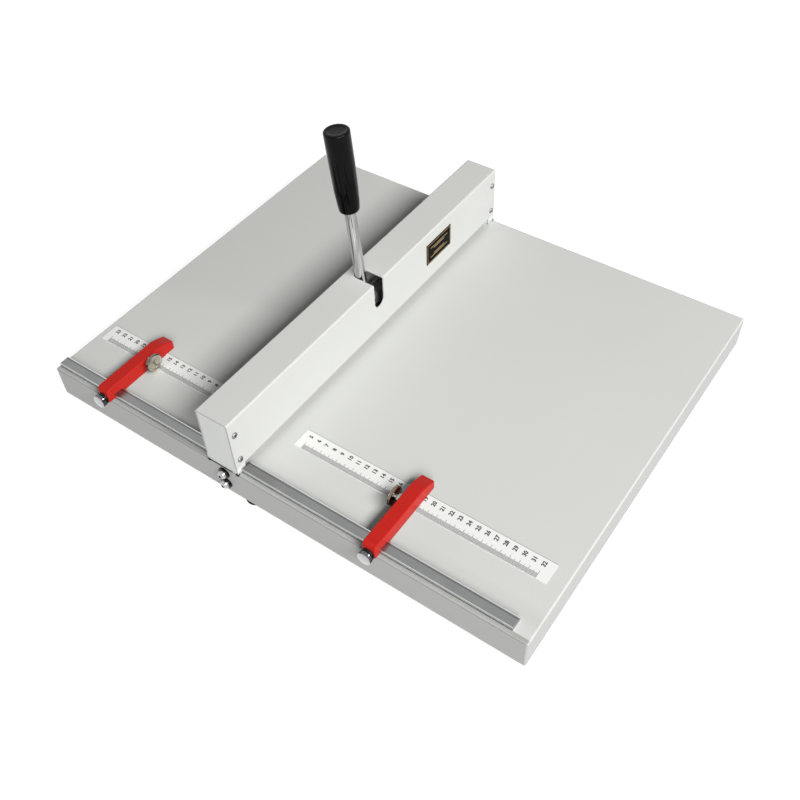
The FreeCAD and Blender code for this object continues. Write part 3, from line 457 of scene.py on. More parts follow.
def product(tree, first, second):
    """Two values multiplied, or the second alone where there is no first yet."""
    if first is None:
        return second
    joined = add_node(tree, "Math", operation="MULTIPLY")
    wire(tree, (first, "Value", joined, 0), (second, "Value", joined, 1))
    return joined


print("mask helpers ready")

# %% Blocks of local tone
MM_SOFT = 0.15


def local_tones(name, blocks, centre=(0.0, 0.0)):
    """A group that multiplies a colour inside blocks, all given in millimetres."""
    group, dials, out = new_group(
        name, (("Colour", "Color", (0.5, 0.5, 0.5, 1)),), (("Colour", "Color"),)
    )
    line = (0, centre[0] * MM, centre[1] * MM)
    place = add_node(group, "TexCoord")
    axes = add_node(group, "SeparateXYZ")
    spoke = add_node(group, "VectorMath", operation="SUBTRACT", inputs={1: line})
    flat = add_node(group, "VectorMath", operation="MULTIPLY", inputs={1: (0, 1, 1)})
    away = add_node(group, "VectorMath", operation="LENGTH")
    wire(
        group,
        (place, "Object", axes, 0),
        (place, "Object", spoke, 0),
        (spoke, "Vector", flat, 0),
        (flat, "Vector", away, 0),
    )
    total = None
    for gain, soft, limits in blocks:
        mask = None
        for axis, (low, high) in limits.items():
            source, output = (away, "Value") if axis == "r" else (axes, axis)
            one = mask_between(group, source, output, low * MM, high * MM, soft * MM)
            mask = product(group, mask, one)
        factor = add_node(group, "Math", operation="MULTIPLY_ADD", inputs={1: gain - 1.0, 2: 1.0})
        wire(group, (mask, "Value", factor, 0))
        total = product(group, total, factor)
    tinted = add_node(group, "HueSaturation")
    wire(
        group,
        (total, "Value", tinted, "Value"),
        (dials, "Colour", tinted, "Color"),
        (tinted, "Color", out, "Colour"),
    )
    print("local tones:", name, len(blocks))
    return group


# %% Where the tones change
TABLE_FACE = (45.6, 47)
RAIL_FACE = (50.9, 53)
WALLS = (-1, 44.8)
rail_highlights_and_shade = local_tones("rail_highlights_and_shade", (
    # gain, softness, block
    # painted highlights along the back edge and the outer chamfer, and painted shade beside the
    # back edge and at the foot of the outer face
    (2.7, MM_SOFT, {"Y": (-225.0, -222), "Z": RAIL_FACE}),
    (0.62, 0.4, {"Y": (-226.9, -225.0), "Z": RAIL_FACE}),
    (2.7, MM_SOFT, {"Y": (-237, -235.6), "Z": (47.8, 53)}),
    (0.75, 0.3, {"Y": (-237, -235.6), "Z": (45, 47.6)}),
))
table_painted_shade = local_tones("table_painted_shade", (
    # painted shade: darker beside the rail, on the walls, more on the far wall, on the strip
    # outside the rail and along its bend
    (0.74, 8.0, {"Y": (-223.5, -210), "Z": TABLE_FACE}),
    (0.92, 0.4, {"Z": WALLS}),
    (0.84, 0.4, {"X": (347, 350), "Z": WALLS}),
    (0.60, 0.4, {"Y": (-240.5, -236), "Z": TABLE_FACE}),
    (0.58, 0.3, {"Y": (-241.5, -240.2), "Z": (44.3, 47)}),
))
seam_dirt_and_shade = local_tones("seam_dirt_and_shade", (
    # dark joint lines where the cover meets the end plates
    (0.55, 0.3, {"X": (-18.9, -18.1), "Z": (56, 120)}),
    (0.55, 0.3, {"X": (18.1, 18.9), "Z": (56, 120)}),
    (0.55, 0.3, {"X": (-19, 19), "Z": (118.1, 119)}),
    # painted shade: darker at the plates' foot on the table, and on their side that faces the lamp
    (0.80, 1.2, {"Z": (46, 49)}),
    (0.62, 0.2, {"X": (18.4, 20), "Z": (44, 57)}),
))
# painted shadow line along each ruler's inner edge
ruler_edge_shadow = local_tones("ruler_edge_shadow", ((0.42, 0.1, {"Y": (-156.6, -155)}),))
dark_rim_and_back_shade = local_tones("dark_rim_and_back_shade", (
    # the knurled rim is dark metal
    (0.35, MM_SOFT, {"r": (9.7, 12)}),
    # painted shade on the back faces of both discs
    (0.35, 0.1, {"X": (168.8, 169.5), "r": (3, 9.2)}),
    (0.35, 0.1, {"X": (-153.4, -152.9), "r": (3, 9.2)}),
), centre=(-182.0, 57.5))
# painted shade and dark reflection on the clamp heads' knurled sides, back to the arm
knurl_painted_shade = local_tones("knurl_painted_shade", ((0.30, 0.3, {"Y": (-251.2, -240)}),))

# %% [markdown]
# ## Mixing the finishes
# Each finish is a material with one of the groups in front of a Principled shader.
# The group feeds colour, roughness and a bump. What is the same all over the surface,
# such as metal or not, is set on the shader itself.

# %% A finish
BUMP_DEPTH = 0.0004
finishes = {}


def use_group(tree, group):
    """A node that holds a node group."""
    holder = tree.nodes.new("ShaderNodeGroup")
    holder.node_tree = group
    return holder


def mix_finish(
    name, group, colour, gloss, bump, metallic=0.0, specular=0.5, tones=None, **settings
):
    """A material that takes its looks from a group, kept under its slot's name."""
    material = bpy.data.materials.new(f"{name}_finish")
    material.use_nodes = True
    tree = material.node_tree
    shader = tree.nodes["Principled BSDF"]
    shader.inputs["Metallic"].default_value = metallic
    shader.inputs["Specular IOR Level"].default_value = specular
    effect = use_group(tree, group)
    effect.inputs["Colour"].default_value = (*colour, 1)
    effect.inputs["Gloss"].default_value = gloss
    for label, value in settings.items():
        effect.inputs[label.replace("_", " ")].default_value = value
    relief = add_node(tree, "Bump", inputs={"Strength": bump, "Distance": BUMP_DEPTH})
    last = effect
    if tones:
        last = use_group(tree, tones)
        wire(tree, (effect, "Colour", last, "Colour"))
    wire(
        tree,
        (last, "Colour", shader, "Base Color"),
        (effect, "Roughness", shader, "Roughness"),
        (effect, "Height", relief, "Height"),
        (relief, "Normal", shader, "Normal"),
    )
    finishes[name] = material
    return material


print("finish helper ready")

# %% Paints
ENAMEL = (0.622, 0.628, 0.602)
mix_finish("white_enamel", paint, ENAMEL, 0.44, 0.10, specular=0.18)
mix_finish("table_enamel", paint, ENAMEL, 0.44, 0.10, specular=0.18, tones=table_painted_shade)
# The end plates' paint is lighter and a little bluer than the cover's, and lifted further as
# painted light, so that their end faces in shade read light.
mix_finish(
    "plate_enamel", paint, (0.890, 0.920, 0.885), 0.46, 0.18, specular=0.18, tones=seam_dirt_and_shade,
    Drift=0.16,
)
red = mix_finish(
    "red_enamel", paint, (0.50, 0.018, 0.013), 0.38, 0.16, specular=0.12,
    Drift=0.10, Peel_Scale=520.0,
)
print("paints:", sorted(finishes))

# %% [markdown]
# Bright red paint also throws a pink light on the white table beside it. A studio
# keeps that down with small cards. Here the kind of ray does it: what a matt surface
# gets from the arms is a dim grey, while the camera and every gloss see them red.

# %% Keep the red from spilling
SPILL_GREY = (0.16, 0.13, 0.13, 1)
MIX_SEEN, MIX_SPILT = 6, 7

tree = red.node_tree
shader = tree.nodes["Principled BSDF"]
coat = shader.inputs["Base Color"].links[0].from_node
spill = add_node(tree, "Mix", inputs={MIX_SPILT: SPILL_GREY}, data_type="RGBA")
wire(
    tree,
    (add_node(tree, "LightPath"), "Is Diffuse Ray", spill, 0),
    (coat, "Colour", spill, MIX_SEEN),
    (spill, 2, shader, "Base Color"),
)
print("spill kept down on:", red.name)

# %% [markdown]
# The bare metals differ mostly in the direction of their marks. The rails and the
# table's fittings run along X, and the grooved bar and the shaft along Y. The lever's
# bands are painted reflection and run along its own leaning axis, so their stretch is
# turned by the angle it leans.

# %% Metals
ALONG_X = (9.0, 1400.0, 1400.0)
ALONG_Y = (1400.0, 9.0, 1400.0)
ROD_REFLECTION_BANDS = (260.0, 260.0, 3.0)
NO_RUN = (700.0, 700.0, 700.0)
LEVER_LEAN = math.radians(5)

METALS = {
    # slot: (colour, gloss, bump, streaks, stretch)
    "zinc_sheet": ((0.50, 0.51, 0.52), 0.42, 0.10, 0.30, NO_RUN),
    "tool_steel": ((0.42, 0.42, 0.43), 0.28, 0.10, 0.35, ALONG_Y),
    "ground_steel": ((0.50, 0.50, 0.50), 0.24, 0.08, 0.40, ALONG_Y),
    "spring_steel": ((0.30, 0.30, 0.31), 0.30, 0.05, 0.25, NO_RUN),
    "stud_steel": ((0.42, 0.41, 0.39), 0.28, 0.08, 0.30, ALONG_X),
    "bush_bronze": ((0.52, 0.33, 0.13), 0.32, 0.08, 0.30, NO_RUN),
    "gilt": ((0.90, 0.62, 0.30), 0.30, 0.08, 0.60, NO_RUN),
    "bolt_chrome": ((0.46, 0.46, 0.47), 0.09, 0.03, 0.12, ALONG_Y),
    "cover_screw_steel": ((0.30, 0.30, 0.31), 0.24, 0.05, 0.20, NO_RUN),
    "zinc_screws": ((0.52, 0.52, 0.50), 0.32, 0.06, 0.25, NO_RUN),
    "black_screws": ((0.035, 0.035, 0.037), 0.34, 0.06, 0.30, NO_RUN),
    "black_washers": ((0.022, 0.022, 0.024), 0.32, 0.05, 0.30, NO_RUN),
}
for name, (colour, gloss, bump, streaks, stretch) in METALS.items():
    mix_finish(name, drawn, colour, gloss, bump, metallic=1.0, Streaks=streaks, Stretch=stretch)
mix_finish(
    "rail_steel", drawn, (0.265, 0.268, 0.268), 0.27, 0.10, metallic=1.0, tones=rail_highlights_and_shade,
    Streaks=0.30, Stretch=ALONG_X,
)
mix_finish(
    "stop_metal", drawn, (0.55, 0.51, 0.42), 0.16, 0.06, metallic=1.0, tones=dark_rim_and_back_shade,
    Streaks=0.25, Stretch=NO_RUN,
)
# the rod's strong dark and bright bands along its length are painted reflection
mix_finish(
    "lever_chrome", drawn, (0.62, 0.62, 0.63), 0.06, 0.03, metallic=1.0,
    Streaks=2.2, Stretch=ROD_REFLECTION_BANDS, Turn=(0.0, LEVER_LEAN, 0.0),
)
mix_finish(
    "clamp_chrome", drawn, (0.48, 0.48, 0.49), 0.09, 0.03, metallic=1.0, tones=knurl_painted_shade,
    Streaks=0.20, Stretch=ALONG_Y,
)
print("metals:", len(METALS) + 4)

# %% Plastics, rubber and print
PLASTICS = {
    # slot: (colour, gloss, bump, specular, scuffs)
    "grip_plastic": ((0.0016, 0.0016, 0.0017), 0.05, 0.02, 0.10, 0.35),
    "ruler_ink": ((0.060, 0.060, 0.063), 0.40, 0.02, 0.20, 0.30),
    "tick_ink": ((0.22, 0.22, 0.223), 0.40, 0.02, 0.20, 0.30),
    "badge_black": ((0.003, 0.003, 0.0035), 0.14, 0.03, 0.03, 0.25),
}
for name, (colour, gloss, bump, specular, scuffs) in PLASTICS.items():
    mix_finish(name, handled, colour, gloss, bump, specular=specular, Scuffs=scuffs)
mix_finish(
    "foot_rubber", handled, (0.007, 0.007, 0.007), 0.72, 0.25, specular=0.2,
    Scuffs=0.3, Mottle_Scale=900.0,
)
mix_finish("ruler_film", handled, (0.82, 0.825, 0.80), 0.30, 0.02, tones=ruler_edge_shadow, Scuffs=0.05)
print("finishes in all:", len(finishes))

# %% [markdown]
# ## Dressing the solids
# The solids keep their meshes. Each of their material slots carries the name of a
# slot of the record, and that name picks the finish. The pan and the two end plates
# are enamelled like the cover, but have painted shade of their own, the plates also
# dark seams and a lighter paint lifted for their shaded end faces, so they are named here.

# %% Give the solids their finishes
OWN_FINISH = {
    "base_pan": "table_enamel",
    "left_end_plate": "plate_enamel",
    "right_end_plate": "plate_enamel",
}
dressed = 0
for node_name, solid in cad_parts.items():
    for holder in solid.material_slots:
        wanted = holder.material.name.split(".")[0]
        holder.material = finishes[OWN_FINISH.get(node_name, wanted)]
        dressed += 1
print("slots dressed:", dressed)

# %% [markdown]
# ## Modelling helpers
# The small pieces of a machine are mostly turned. A lathe profile could be spun, but
# a spin leaves a seam and a pinched pole to clean up. Here a disc is extruded ring by
# ring instead, each ring resized about the axis, which closes by itself.

# %% Turn a piece ring by ring
def turn_piece(name, rings, sides):
    """Extrude a disc upwards along Z: each ring is (height, radius) in millimetres."""
    start_clean()
    height, radius = rings[0]
    bpy.ops.mesh.primitive_circle_add(
        vertices=sides, radius=radius * MM, fill_type="NGON", location=(0, 0, height * MM)
    )
    piece = bpy.context.object
    piece.name = name
    bpy.ops.object.transform_apply(location=True)
    bpy.ops.object.mode_set(mode="EDIT")
    bpy.ops.mesh.select_mode(type="FACE")
    bpy.ops.mesh.select_all(action="SELECT")
    for (low, old), (high, new) in zip(rings, rings[1:]):
        rise = (0, 0, (high - low) * MM)
        bpy.ops.mesh.extrude_region_move(TRANSFORM_OT_translate={"value": rise})
        size = new / old
        bpy.ops.transform.resize(value=(size, size, 1), center_override=(0, 0, high * MM))
    bpy.ops.mesh.select_all(action="SELECT")
    bpy.ops.mesh.normals_make_consistent(inside=False)
    bpy.ops.object.mode_set(mode="OBJECT")
    return piece


print("turning helper ready")

# %% [markdown]
# A knurl is pressed into a turned rim by a toothed wheel. Here every second line of
# points between two heights is pulled in towards the axis. The points are chosen by
# a test on their place, so the choice doesn't hang on the order of the mesh.

# %% Knurl a rim
def choose_points(piece, test):
    """In edit mode, select the points whose place passes the test."""
    select_only(piece)
    bpy.ops.object.mode_set(mode="EDIT")
    bpy.ops.mesh.select_mode(type="VERT")
    bpy.ops.mesh.select_all(action="DESELECT")
    mesh = bmesh.from_edit_mesh(piece.data)
    for point in mesh.verts:
        point.select = test(point.co)
    mesh.select_flush(True)
    bmesh.update_edit_mesh(piece.data)
    return sum(point.select for point in mesh.verts)


def knurl(piece, sides, low, high, depth):
    """Pull every second line of points between two heights towards the axis."""
    step = 2 * math.pi / sides

    def every_second(place):
        number = round(math.atan2(place.y, place.x) / step)
        return low * MM < place.z < high * MM and number % 2 == 0

    found = choose_points(piece, every_second)
    bpy.ops.transform.resize(value=(depth, depth, 1), center_override=(0, 0, 0))
    bpy.ops.object.mode_set(mode="OBJECT")
    return found


print("knurl helper ready")

# %% [markdown]
# A turned piece is made about Z at the origin, then turned and moved to its place,
# and that place is applied to the mesh. Its object stays at the origin, as every
# solid's does. Strips, ticks and cutters start as a cube that is scaled in place, and
# the strips, rules and plate that show have their edges rounded; the ticks are not.

# %% Seat, copy and join
TO_FRONT = (0, math.radians(90), 0)
TO_REAR = (0, math.radians(-90), 0)
TO_LEFT = (math.radians(90), 0, 0)
TO_RIGHT = (math.radians(-90), 0, 0)


def seat(piece, spot, turn=(0, 0, 0)):
    """Turn and move a piece, and keep the result in its mesh."""
    select_only(piece)
    piece.rotation_euler = turn
    piece.location = spot
    bpy.ops.object.transform_apply(location=True, rotation=True, scale=True)
    return piece


def copy_piece(piece, name):
    """A copy with its own mesh."""
    select_only(piece)
    bpy.ops.object.duplicate(linked=False)
    twin = bpy.context.object
    twin.name = name
    return twin


def join_pieces(name, pieces):
    """Make several meshes one piece."""
    select_only(*pieces)
    bpy.ops.object.join()
    piece = bpy.context.object
    piece.name = name
    return piece


print("seating helpers ready")

# %% Blocks and bevels
def scaled_cube(spot, size):
    """A cube of this size at a spot, with both kept in its mesh."""
    start_clean()
    bpy.ops.mesh.primitive_cube_add(size=1, location=spot)
    cube = bpy.context.object
    cube.scale = size
    bpy.ops.object.transform_apply(location=True, scale=True)
    return cube


def bevel_edges(piece, width, segments, **settings):
    """Round the edges of a piece by a bevel that is applied."""
    select_only(piece)
    bevel = piece.modifiers.new("rounded", "BEVEL")
    bevel.width = width
    bevel.segments = segments
    for name, value in settings.items():
        setattr(bevel, name, value)
    bpy.ops.object.modifier_apply(modifier=bevel.name)


print("block helpers ready")

# %% [markdown]
# Slots and recesses are carved by a boolean with a block or a prism. A piece that is
# done is handed over: smoothed, given its finish, tied to its body, and set in the
# place of the solid that it dresses.

# %% Carve and hand over
def cut_with(piece, cutter):
    """Cut one piece by another with a boolean that is applied, and drop the cutter."""
    select_only(piece)
    carve = piece.modifiers.new("carve", "BOOLEAN")
    carve.operation = "DIFFERENCE"
    carve.solver = "EXACT"
    carve.object = cutter
    bpy.ops.object.modifier_apply(modifier=carve.name)
    bpy.data.objects.remove(cutter, do_unlink=True)


def hand_over(piece, body, slot, nodes=(), smooth=30, finish=None):
    """Smooth a piece, give it its finish, and tie it to its body."""
    select_only(piece)
    bpy.ops.object.shade_smooth_by_angle(angle=math.radians(smooth))
    piece.data.materials.clear()
    piece.data.materials.append(finishes[finish or slot])
    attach(piece, body)
    if nodes:
        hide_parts(*nodes)
    print(piece.name, len(piece.data.polygons), "faces, on", body)
    return piece


print("hand-over helpers ready")

# %% [markdown]
# ## The grip
# The grip is a moulded bar of glossy black plastic: a rounded foot, a slow swelling,
# a straight head and a shallow dish in the top behind a round rim. It is turned about
# Z and then leaned back about the shaft with the rest of the lever.

# %% Grip
PIVOT = (0, 0, 0.088)
LEAN_BACK = (0, -LEVER_LEAN, 0)
GRIP_SIDES = 72


def arc_rings(centre_height, centre_radius, size, first, last, steps):
    """Rings of a quarter round between two angles, measured up from the level."""
    angles = [math.radians(first + (last - first) * step / steps) for step in range(steps + 1)]
    return [
        (centre_height + size * math.sin(angle), centre_radius + size * math.cos(angle))
        for angle in angles
    ]


grip_rings = [(115.0, 6.9)]
grip_rings += arc_rings(118.0, 7.8, 3.0, -90, 0, 6)
grip_rings += [(121.7, 11.2), (126.0, 11.55), (131.0, 11.9), (140.0, 12.45), (149.0, 12.75)]
grip_rings += [(160.0, 13.0), (172.0, 13.2), (190.0, 13.3)]
grip_rings += arc_rings(203.5, 11.5, 1.8, 0, 90, 6)
grip_rings += arc_rings(204.2, 10.2, 1.1, 75, 115, 3)
grip_rings += [(205.0, 9.4), (204.75, 8.2), (204.65, 5.0), (204.6, 1.0)]
grip = turn_piece("grip", grip_rings, GRIP_SIDES)
seat(grip, PIVOT, LEAN_BACK)
hand_over(grip, "lever", "grip_plastic", ["lever_grip"], smooth=40)

# %% [markdown]
# ## The rod
# The rod is bright chrome, so its outline must be truly round: a coarse rod would
# show its flats as stripes. It has a stub that sits in the hub, a small shoulder, and
# a collar where the grip is pressed on.

# %% Rod
ROD_SIDES = 64

rod_rings = [
    (8.0, 4.0), (11.5, 4.0), (11.5, 5.7), (11.8, 6.0), (60.0, 6.0), (113.6, 6.0), (113.9, 5.7),
    (114.3, 5.7), (114.6, 6.0), (189.0, 6.0), (190.0, 5.0), (190.0, 0.5),
]
rod = turn_piece("rod", rod_rings, ROD_SIDES)
seat(rod, PIVOT, LEAN_BACK)
hand_over(rod, "lever", "lever_chrome", ["lever_rod"])

# %% [markdown]
# ## The stop discs
# Each gauge has a fine stop: a knurled disc on a threaded stud, which is turned by
# finger or by a coin in its slot. The knurl is made by pulling in every second line
# of points on the rim, which is what a knurling wheel does. The slot is carved.

# %% Stop discs
DISC_SIDES = 96
STOP_Y = -0.182
STOP_Z = 0.0575
DISC_FACES = {"front": (0.16925, TO_REAR), "rear": (-0.15315, TO_FRONT)}
DISC_KNURL = (0.6, 2.9, 0.962)
COIN_SLOT_MIDDLE = 3.3 * MM
COIN_SLOT_SIZE = (12.4 * MM, 1.3 * MM, 1.6 * MM)

disc_rings = [
    (0.0, 3.2), (0.0, 9.8), (0.5, 10.55), (0.8, 10.6), (2.7, 10.6), (3.0, 10.55), (3.5, 9.9),
    (3.5, 7.7), (3.35, 7.4), (3.0, 7.0), (3.0, 3.6), (3.25, 3.2), (3.25, 0.4),
]
disc = turn_piece("stop_disc", disc_rings, DISC_SIDES)
knurled = knurl(disc, DISC_SIDES, *DISC_KNURL)
cut_with(disc, scaled_cube((0, 0, COIN_SLOT_MIDDLE), COIN_SLOT_SIZE))
for gauge, (face, turn) in DISC_FACES.items():
    twin = copy_piece(disc, f"{gauge}_disc")
    seat(twin, (face, STOP_Y, STOP_Z), turn)
    hand_over(twin, f"{gauge}_disc", "stop_metal", [f"{gauge}_stop_disc"], smooth=35)
bpy.data.objects.remove(disc, do_unlink=True)
print("rim points pulled in:", knurled)

# %% [markdown]
# ## The clamp screws
# A knurled screw at the end of each arm clamps it to the rail. Its head is chromed,
# with a straight knurl, a bevel on both edges and a slightly domed face.

# %% Clamp screws
CLAMP_SIDES = 72
CLAMP_FACE_Y = -0.2467
CLAMP_Z = 0.050
CLAMP_X = {"front": 0.18195, "rear": -0.16585}
CLAMP_KNURL = (1.0, 4.7, 0.955)

clamp_rings = [
    (-10.65, 1.9), (-10.05, 2.45), (0.0, 2.45), (0.0, 5.6), (0.25, 6.3), (0.9, 7.2), (1.1, 7.3),
    (4.6, 7.3), (4.9, 7.2), (5.6, 6.5), (5.95, 5.6), (6.2, 4.3), (6.35, 2.4), (6.4, 0.5),
]
clamp = turn_piece("clamp", clamp_rings, CLAMP_SIDES)
knurled = knurl(clamp, CLAMP_SIDES, *CLAMP_KNURL)
for gauge, x in CLAMP_X.items():
    twin = copy_piece(clamp, f"{gauge}_clamp_knob")
    seat(twin, (x, CLAMP_FACE_Y, CLAMP_Z), TO_LEFT)
    hand_over(twin, f"{gauge}_clamp", "clamp_chrome", [f"{gauge}_clamp_screw"], smooth=35)
bpy.data.objects.remove(clamp, do_unlink=True)
print("rim points pulled in:", knurled)

# %% [markdown]
# ## The end bolts
# Two button-head bolts at each end hold the housing to the table's wall. The dome is
# a few rings on an arc, and the hexagon socket is carved by a six-sided prism.

# %% End bolts
BOLT_HEIGHTS = (0.037, 0.021)
WASHER_FACE_Y = 0.2434
BOLT_SIDES = 48
SOCKET_RADIUS = 2.0 * MM
SOCKET_DEPTH = 4.0 * MM
SOCKET_MIDDLE = 4.2 * MM

bolt_rings = [(-12.0, 2.4), (-11.4, 3.0), (0.0, 3.0), (0.0, 4.7), (0.3, 5.0), (1.0, 5.0)]
bolt_rings += arc_rings(1.0, 1.0, 4.0, 12, 72, 6)
bolt_rings += [(5.0, 1.6), (5.0, 0.4)]
bolt = turn_piece("bolt", bolt_rings, BOLT_SIDES)
bpy.ops.mesh.primitive_cylinder_add(
    vertices=6, radius=SOCKET_RADIUS, depth=SOCKET_DEPTH, location=(0, 0, SOCKET_MIDDLE)
)
socket_tool = bpy.context.object
select_only(socket_tool)
bpy.ops.object.transform_apply(location=True)
cut_with(bolt, socket_tool)
for end, side, turn in (("left", -1, TO_LEFT), ("right", 1, TO_RIGHT)):
    pair = []
    for height in BOLT_HEIGHTS:
        twin = copy_piece(bolt, f"{end}_bolt")
        pair.append(seat(twin, (0, side * WASHER_FACE_Y, height), turn))
    bolts = join_pieces(f"{end}_bolts", pair)
    hand_over(bolts, "base", "bolt_chrome", [f"{end}_plate_bolts"], smooth=35)
bpy.data.objects.remove(bolt, do_unlink=True)

# %% [markdown]
# ## The cover screws
# Eight pan-head screws hold the folded cover to the end plates. Each has a cross
# recess, carved by two crossed blocks. One screw is made and copied to both faces.

# %% Cover screws
SCREW_Y = 0.234
SCREW_HEIGHTS = (0.065, 0.101)
COVER_FACE_X = 0.020
SCREW_SIDES = 40
RECESS_LONG = 3.6 * MM
RECESS_NARROW = 0.62 * MM
RECESS_DEPTH = 1.9 * MM
RECESS_MIDDLE = 1.75 * MM

screw_rings = [
    (-9.0, 1.4), (-8.4, 2.0), (0.0, 2.0), (0.0, 3.3), (0.15, 3.4), (0.7, 3.4), (1.2, 3.2),
    (1.6, 2.7), (1.82, 1.9), (1.9, 1.0), (1.9, 0.3),
]
screw = turn_piece("cover_screw", screw_rings, SCREW_SIDES)
for wide, deep in ((RECESS_LONG, RECESS_NARROW), (RECESS_NARROW, RECESS_LONG)):
    cut_with(screw, scaled_cube((0, 0, RECESS_MIDDLE), (wide, deep, RECESS_DEPTH)))
heads = []
for x, turn in ((COVER_FACE_X, TO_FRONT), (-COVER_FACE_X, TO_REAR)):
    for y in (-SCREW_Y, SCREW_Y):
        for height in SCREW_HEIGHTS:
            heads.append(seat(copy_piece(screw, "screw"), (x, y, height), turn))
cover_screws = join_pieces("cover_screw_set", heads)
hand_over(cover_screws, "base", "cover_screw_steel", ["cover_screws"], smooth=35)
bpy.data.objects.remove(screw, do_unlink=True)

# %% [markdown]
# ## The feet
# Six rubber feet carry the machine. A moulded foot has a lip at the bottom, which
# spreads a little on the bench, a waist, and a hollow for its screw. The outline goes
# down the hollow, round the lip and up the waist, and is turned in one piece.

# %% Feet
FOOT_SIDES = 48

foot_rings = [
    (4.5, 0.5), (4.5, 4.5), (0.5, 4.5), (0.0, 5.0), (0.0, 10.1), (0.3, 10.6), (0.8, 10.8),
    (1.5, 10.7), (2.2, 10.2), (2.9, 9.5), (3.6, 9.3), (6.6, 9.4), (7.2, 9.8), (7.9, 9.9),
    (8.0, 9.7), (8.0, 0.5),
]
foot = turn_piece("foot", foot_rings, FOOT_SIDES)
for side in ("left", "right"):
    for end in ("rear", "middle", "front"):
        foot_low, foot_high = (Vector(corner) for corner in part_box(f"{side}_{end}_foot"))
        foot_spot = ((foot_low.x + foot_high.x) / 2, (foot_low.y + foot_high.y) / 2, 0)
        twin = seat(copy_piece(foot, f"{side}_{end}_rubber_foot"), foot_spot)
        hand_over(twin, "base", "foot_rubber", [f"{side}_{end}_foot"], smooth=35)
bpy.data.objects.remove(foot, do_unlink=True)

# %% [markdown]
# ## The return springs
# Two compression springs under the cover lift the blade again. A coil could be a
# bevelled curve, but the Screw modifier makes it from one small circle: it turns the
# circle about Z and raises it by the pitch each time round. Its open ends are filled.

# %% Return springs
SPRING_RADIUS = 3.9
SPRING_WIRE = 0.5
SPRING_TURNS = 6
STEPS_PER_TURN = 28
WIRE_SIDES = 10

spring_low, spring_high = (Vector(corner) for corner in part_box("left_return_spring"))
spring_height = spring_high.z - spring_low.z
start_clean()
bpy.ops.mesh.primitive_circle_add(
    vertices=WIRE_SIDES, radius=SPRING_WIRE * MM, location=(SPRING_RADIUS * MM, 0, 0),
    rotation=TO_LEFT,
)
spring = bpy.context.object
spring.name = "spring"
bpy.ops.object.transform_apply(location=True, rotation=True)
coil = spring.modifiers.new("coil", "SCREW")
coil.screw_offset = (spring_height - 2 * SPRING_WIRE * MM) / SPRING_TURNS
coil.iterations = SPRING_TURNS
coil.steps = coil.render_steps = STEPS_PER_TURN
bpy.ops.object.modifier_apply(modifier=coil.name)
bpy.ops.object.mode_set(mode="EDIT")
bpy.ops.mesh.select_all(action="SELECT")
bpy.ops.mesh.fill_holes(sides=0)
bpy.ops.mesh.select_all(action="SELECT")
bpy.ops.mesh.normals_make_consistent(inside=False)
bpy.ops.object.mode_set(mode="OBJECT")
for side in ("left", "right"):
    spring_low, spring_high = (Vector(corner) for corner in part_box(f"{side}_return_spring"))
    spring_spot = (spring_low + spring_high) / 2
    spring_spot.z = spring_low.z + SPRING_WIRE * MM
    twin = seat(copy_piece(spring, f"{side}_spring"), spring_spot)
    hand_over(twin, "base", "spring_steel", [f"{side}_return_spring"], smooth=60)
    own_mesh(twin)
bpy.data.objects.remove(spring, do_unlink=True)

# %% [markdown]
# ## The joint under the end plates
# Where an end plate stands on the table's wall, the joint shows as a thin dark line
# with a round relief near each corner. That dark is shade in the gap, painted here by a
# paper-thin black strip, with a round black pad in each relief.

# %% Black strip painting the joint's shade
SHADE_STRIP_FACE = 0.2413
SHADE_STRIP_DEPTH = 0.003
SHADE_STRIP_SPAN = (-19.3, 12.3)
SHADE_STRIP_LEVELS = (45.2, 46.9)
SHADE_STRIP_ROUND = 0.2 * MM
PAD_X = 18.6 * MM
PAD_Z = 45.7 * MM
PAD_SIDES = 24

start_x, end_x = (x * MM for x in SHADE_STRIP_SPAN)
low_z, high_z = (z * MM for z in SHADE_STRIP_LEVELS)
strip_size = (end_x - start_x, SHADE_STRIP_DEPTH, high_z - low_z)
pad_rings = [(0.0, 1.6), (0.15, 2.0), (3.05, 2.0), (3.2, 1.8)]
for end, side, turn in (("left", -1, TO_LEFT), ("right", 1, TO_RIGHT)):
    strip_y = side * (SHADE_STRIP_FACE - SHADE_STRIP_DEPTH / 2)
    strip = scaled_cube(((start_x + end_x) / 2, strip_y, (low_z + high_z) / 2), strip_size)
    bevel_edges(strip, SHADE_STRIP_ROUND, 2)
    shade_strip_parts = [strip]
    for corner in (-1, 1):
        pad = turn_piece("pad", pad_rings, PAD_SIDES)
        pad_spot = (corner * PAD_X, side * (SHADE_STRIP_FACE - SHADE_STRIP_DEPTH), PAD_Z)
        shade_strip_parts.append(seat(pad, pad_spot, turn))
    # black strip and pads: painted shade in the joint
    hand_over(join_pieces(f"{end}_joint_shade_strip", shade_strip_parts), "base", "foot_rubber", smooth=35)

# %% [markdown]
# ## The name plate
# A small black plate sits on the front of the cover. It carries no name here: it is a
# plain glossy field with a few gilt rules inside a thin gilt border. The border is an
# inset strip of the plate's own front face, raised and then split off so that it can
# be gilt.

# %% Choose faces
def choose_faces(piece, test):
    """In edit mode, select the faces that pass the test on centre and normal."""
    select_only(piece)
    bpy.ops.object.mode_set(mode="EDIT")
    bpy.ops.mesh.select_mode(type="FACE")
    bpy.ops.mesh.select_all(action="DESELECT")
    mesh = bmesh.from_edit_mesh(piece.data)
    for face in mesh.faces:
        face.select = test(face.calc_center_median(), face.normal)
    mesh.select_flush(True)
    bmesh.update_edit_mesh(piece.data)
    return sum(face.select for face in mesh.faces)


print("face helper ready")

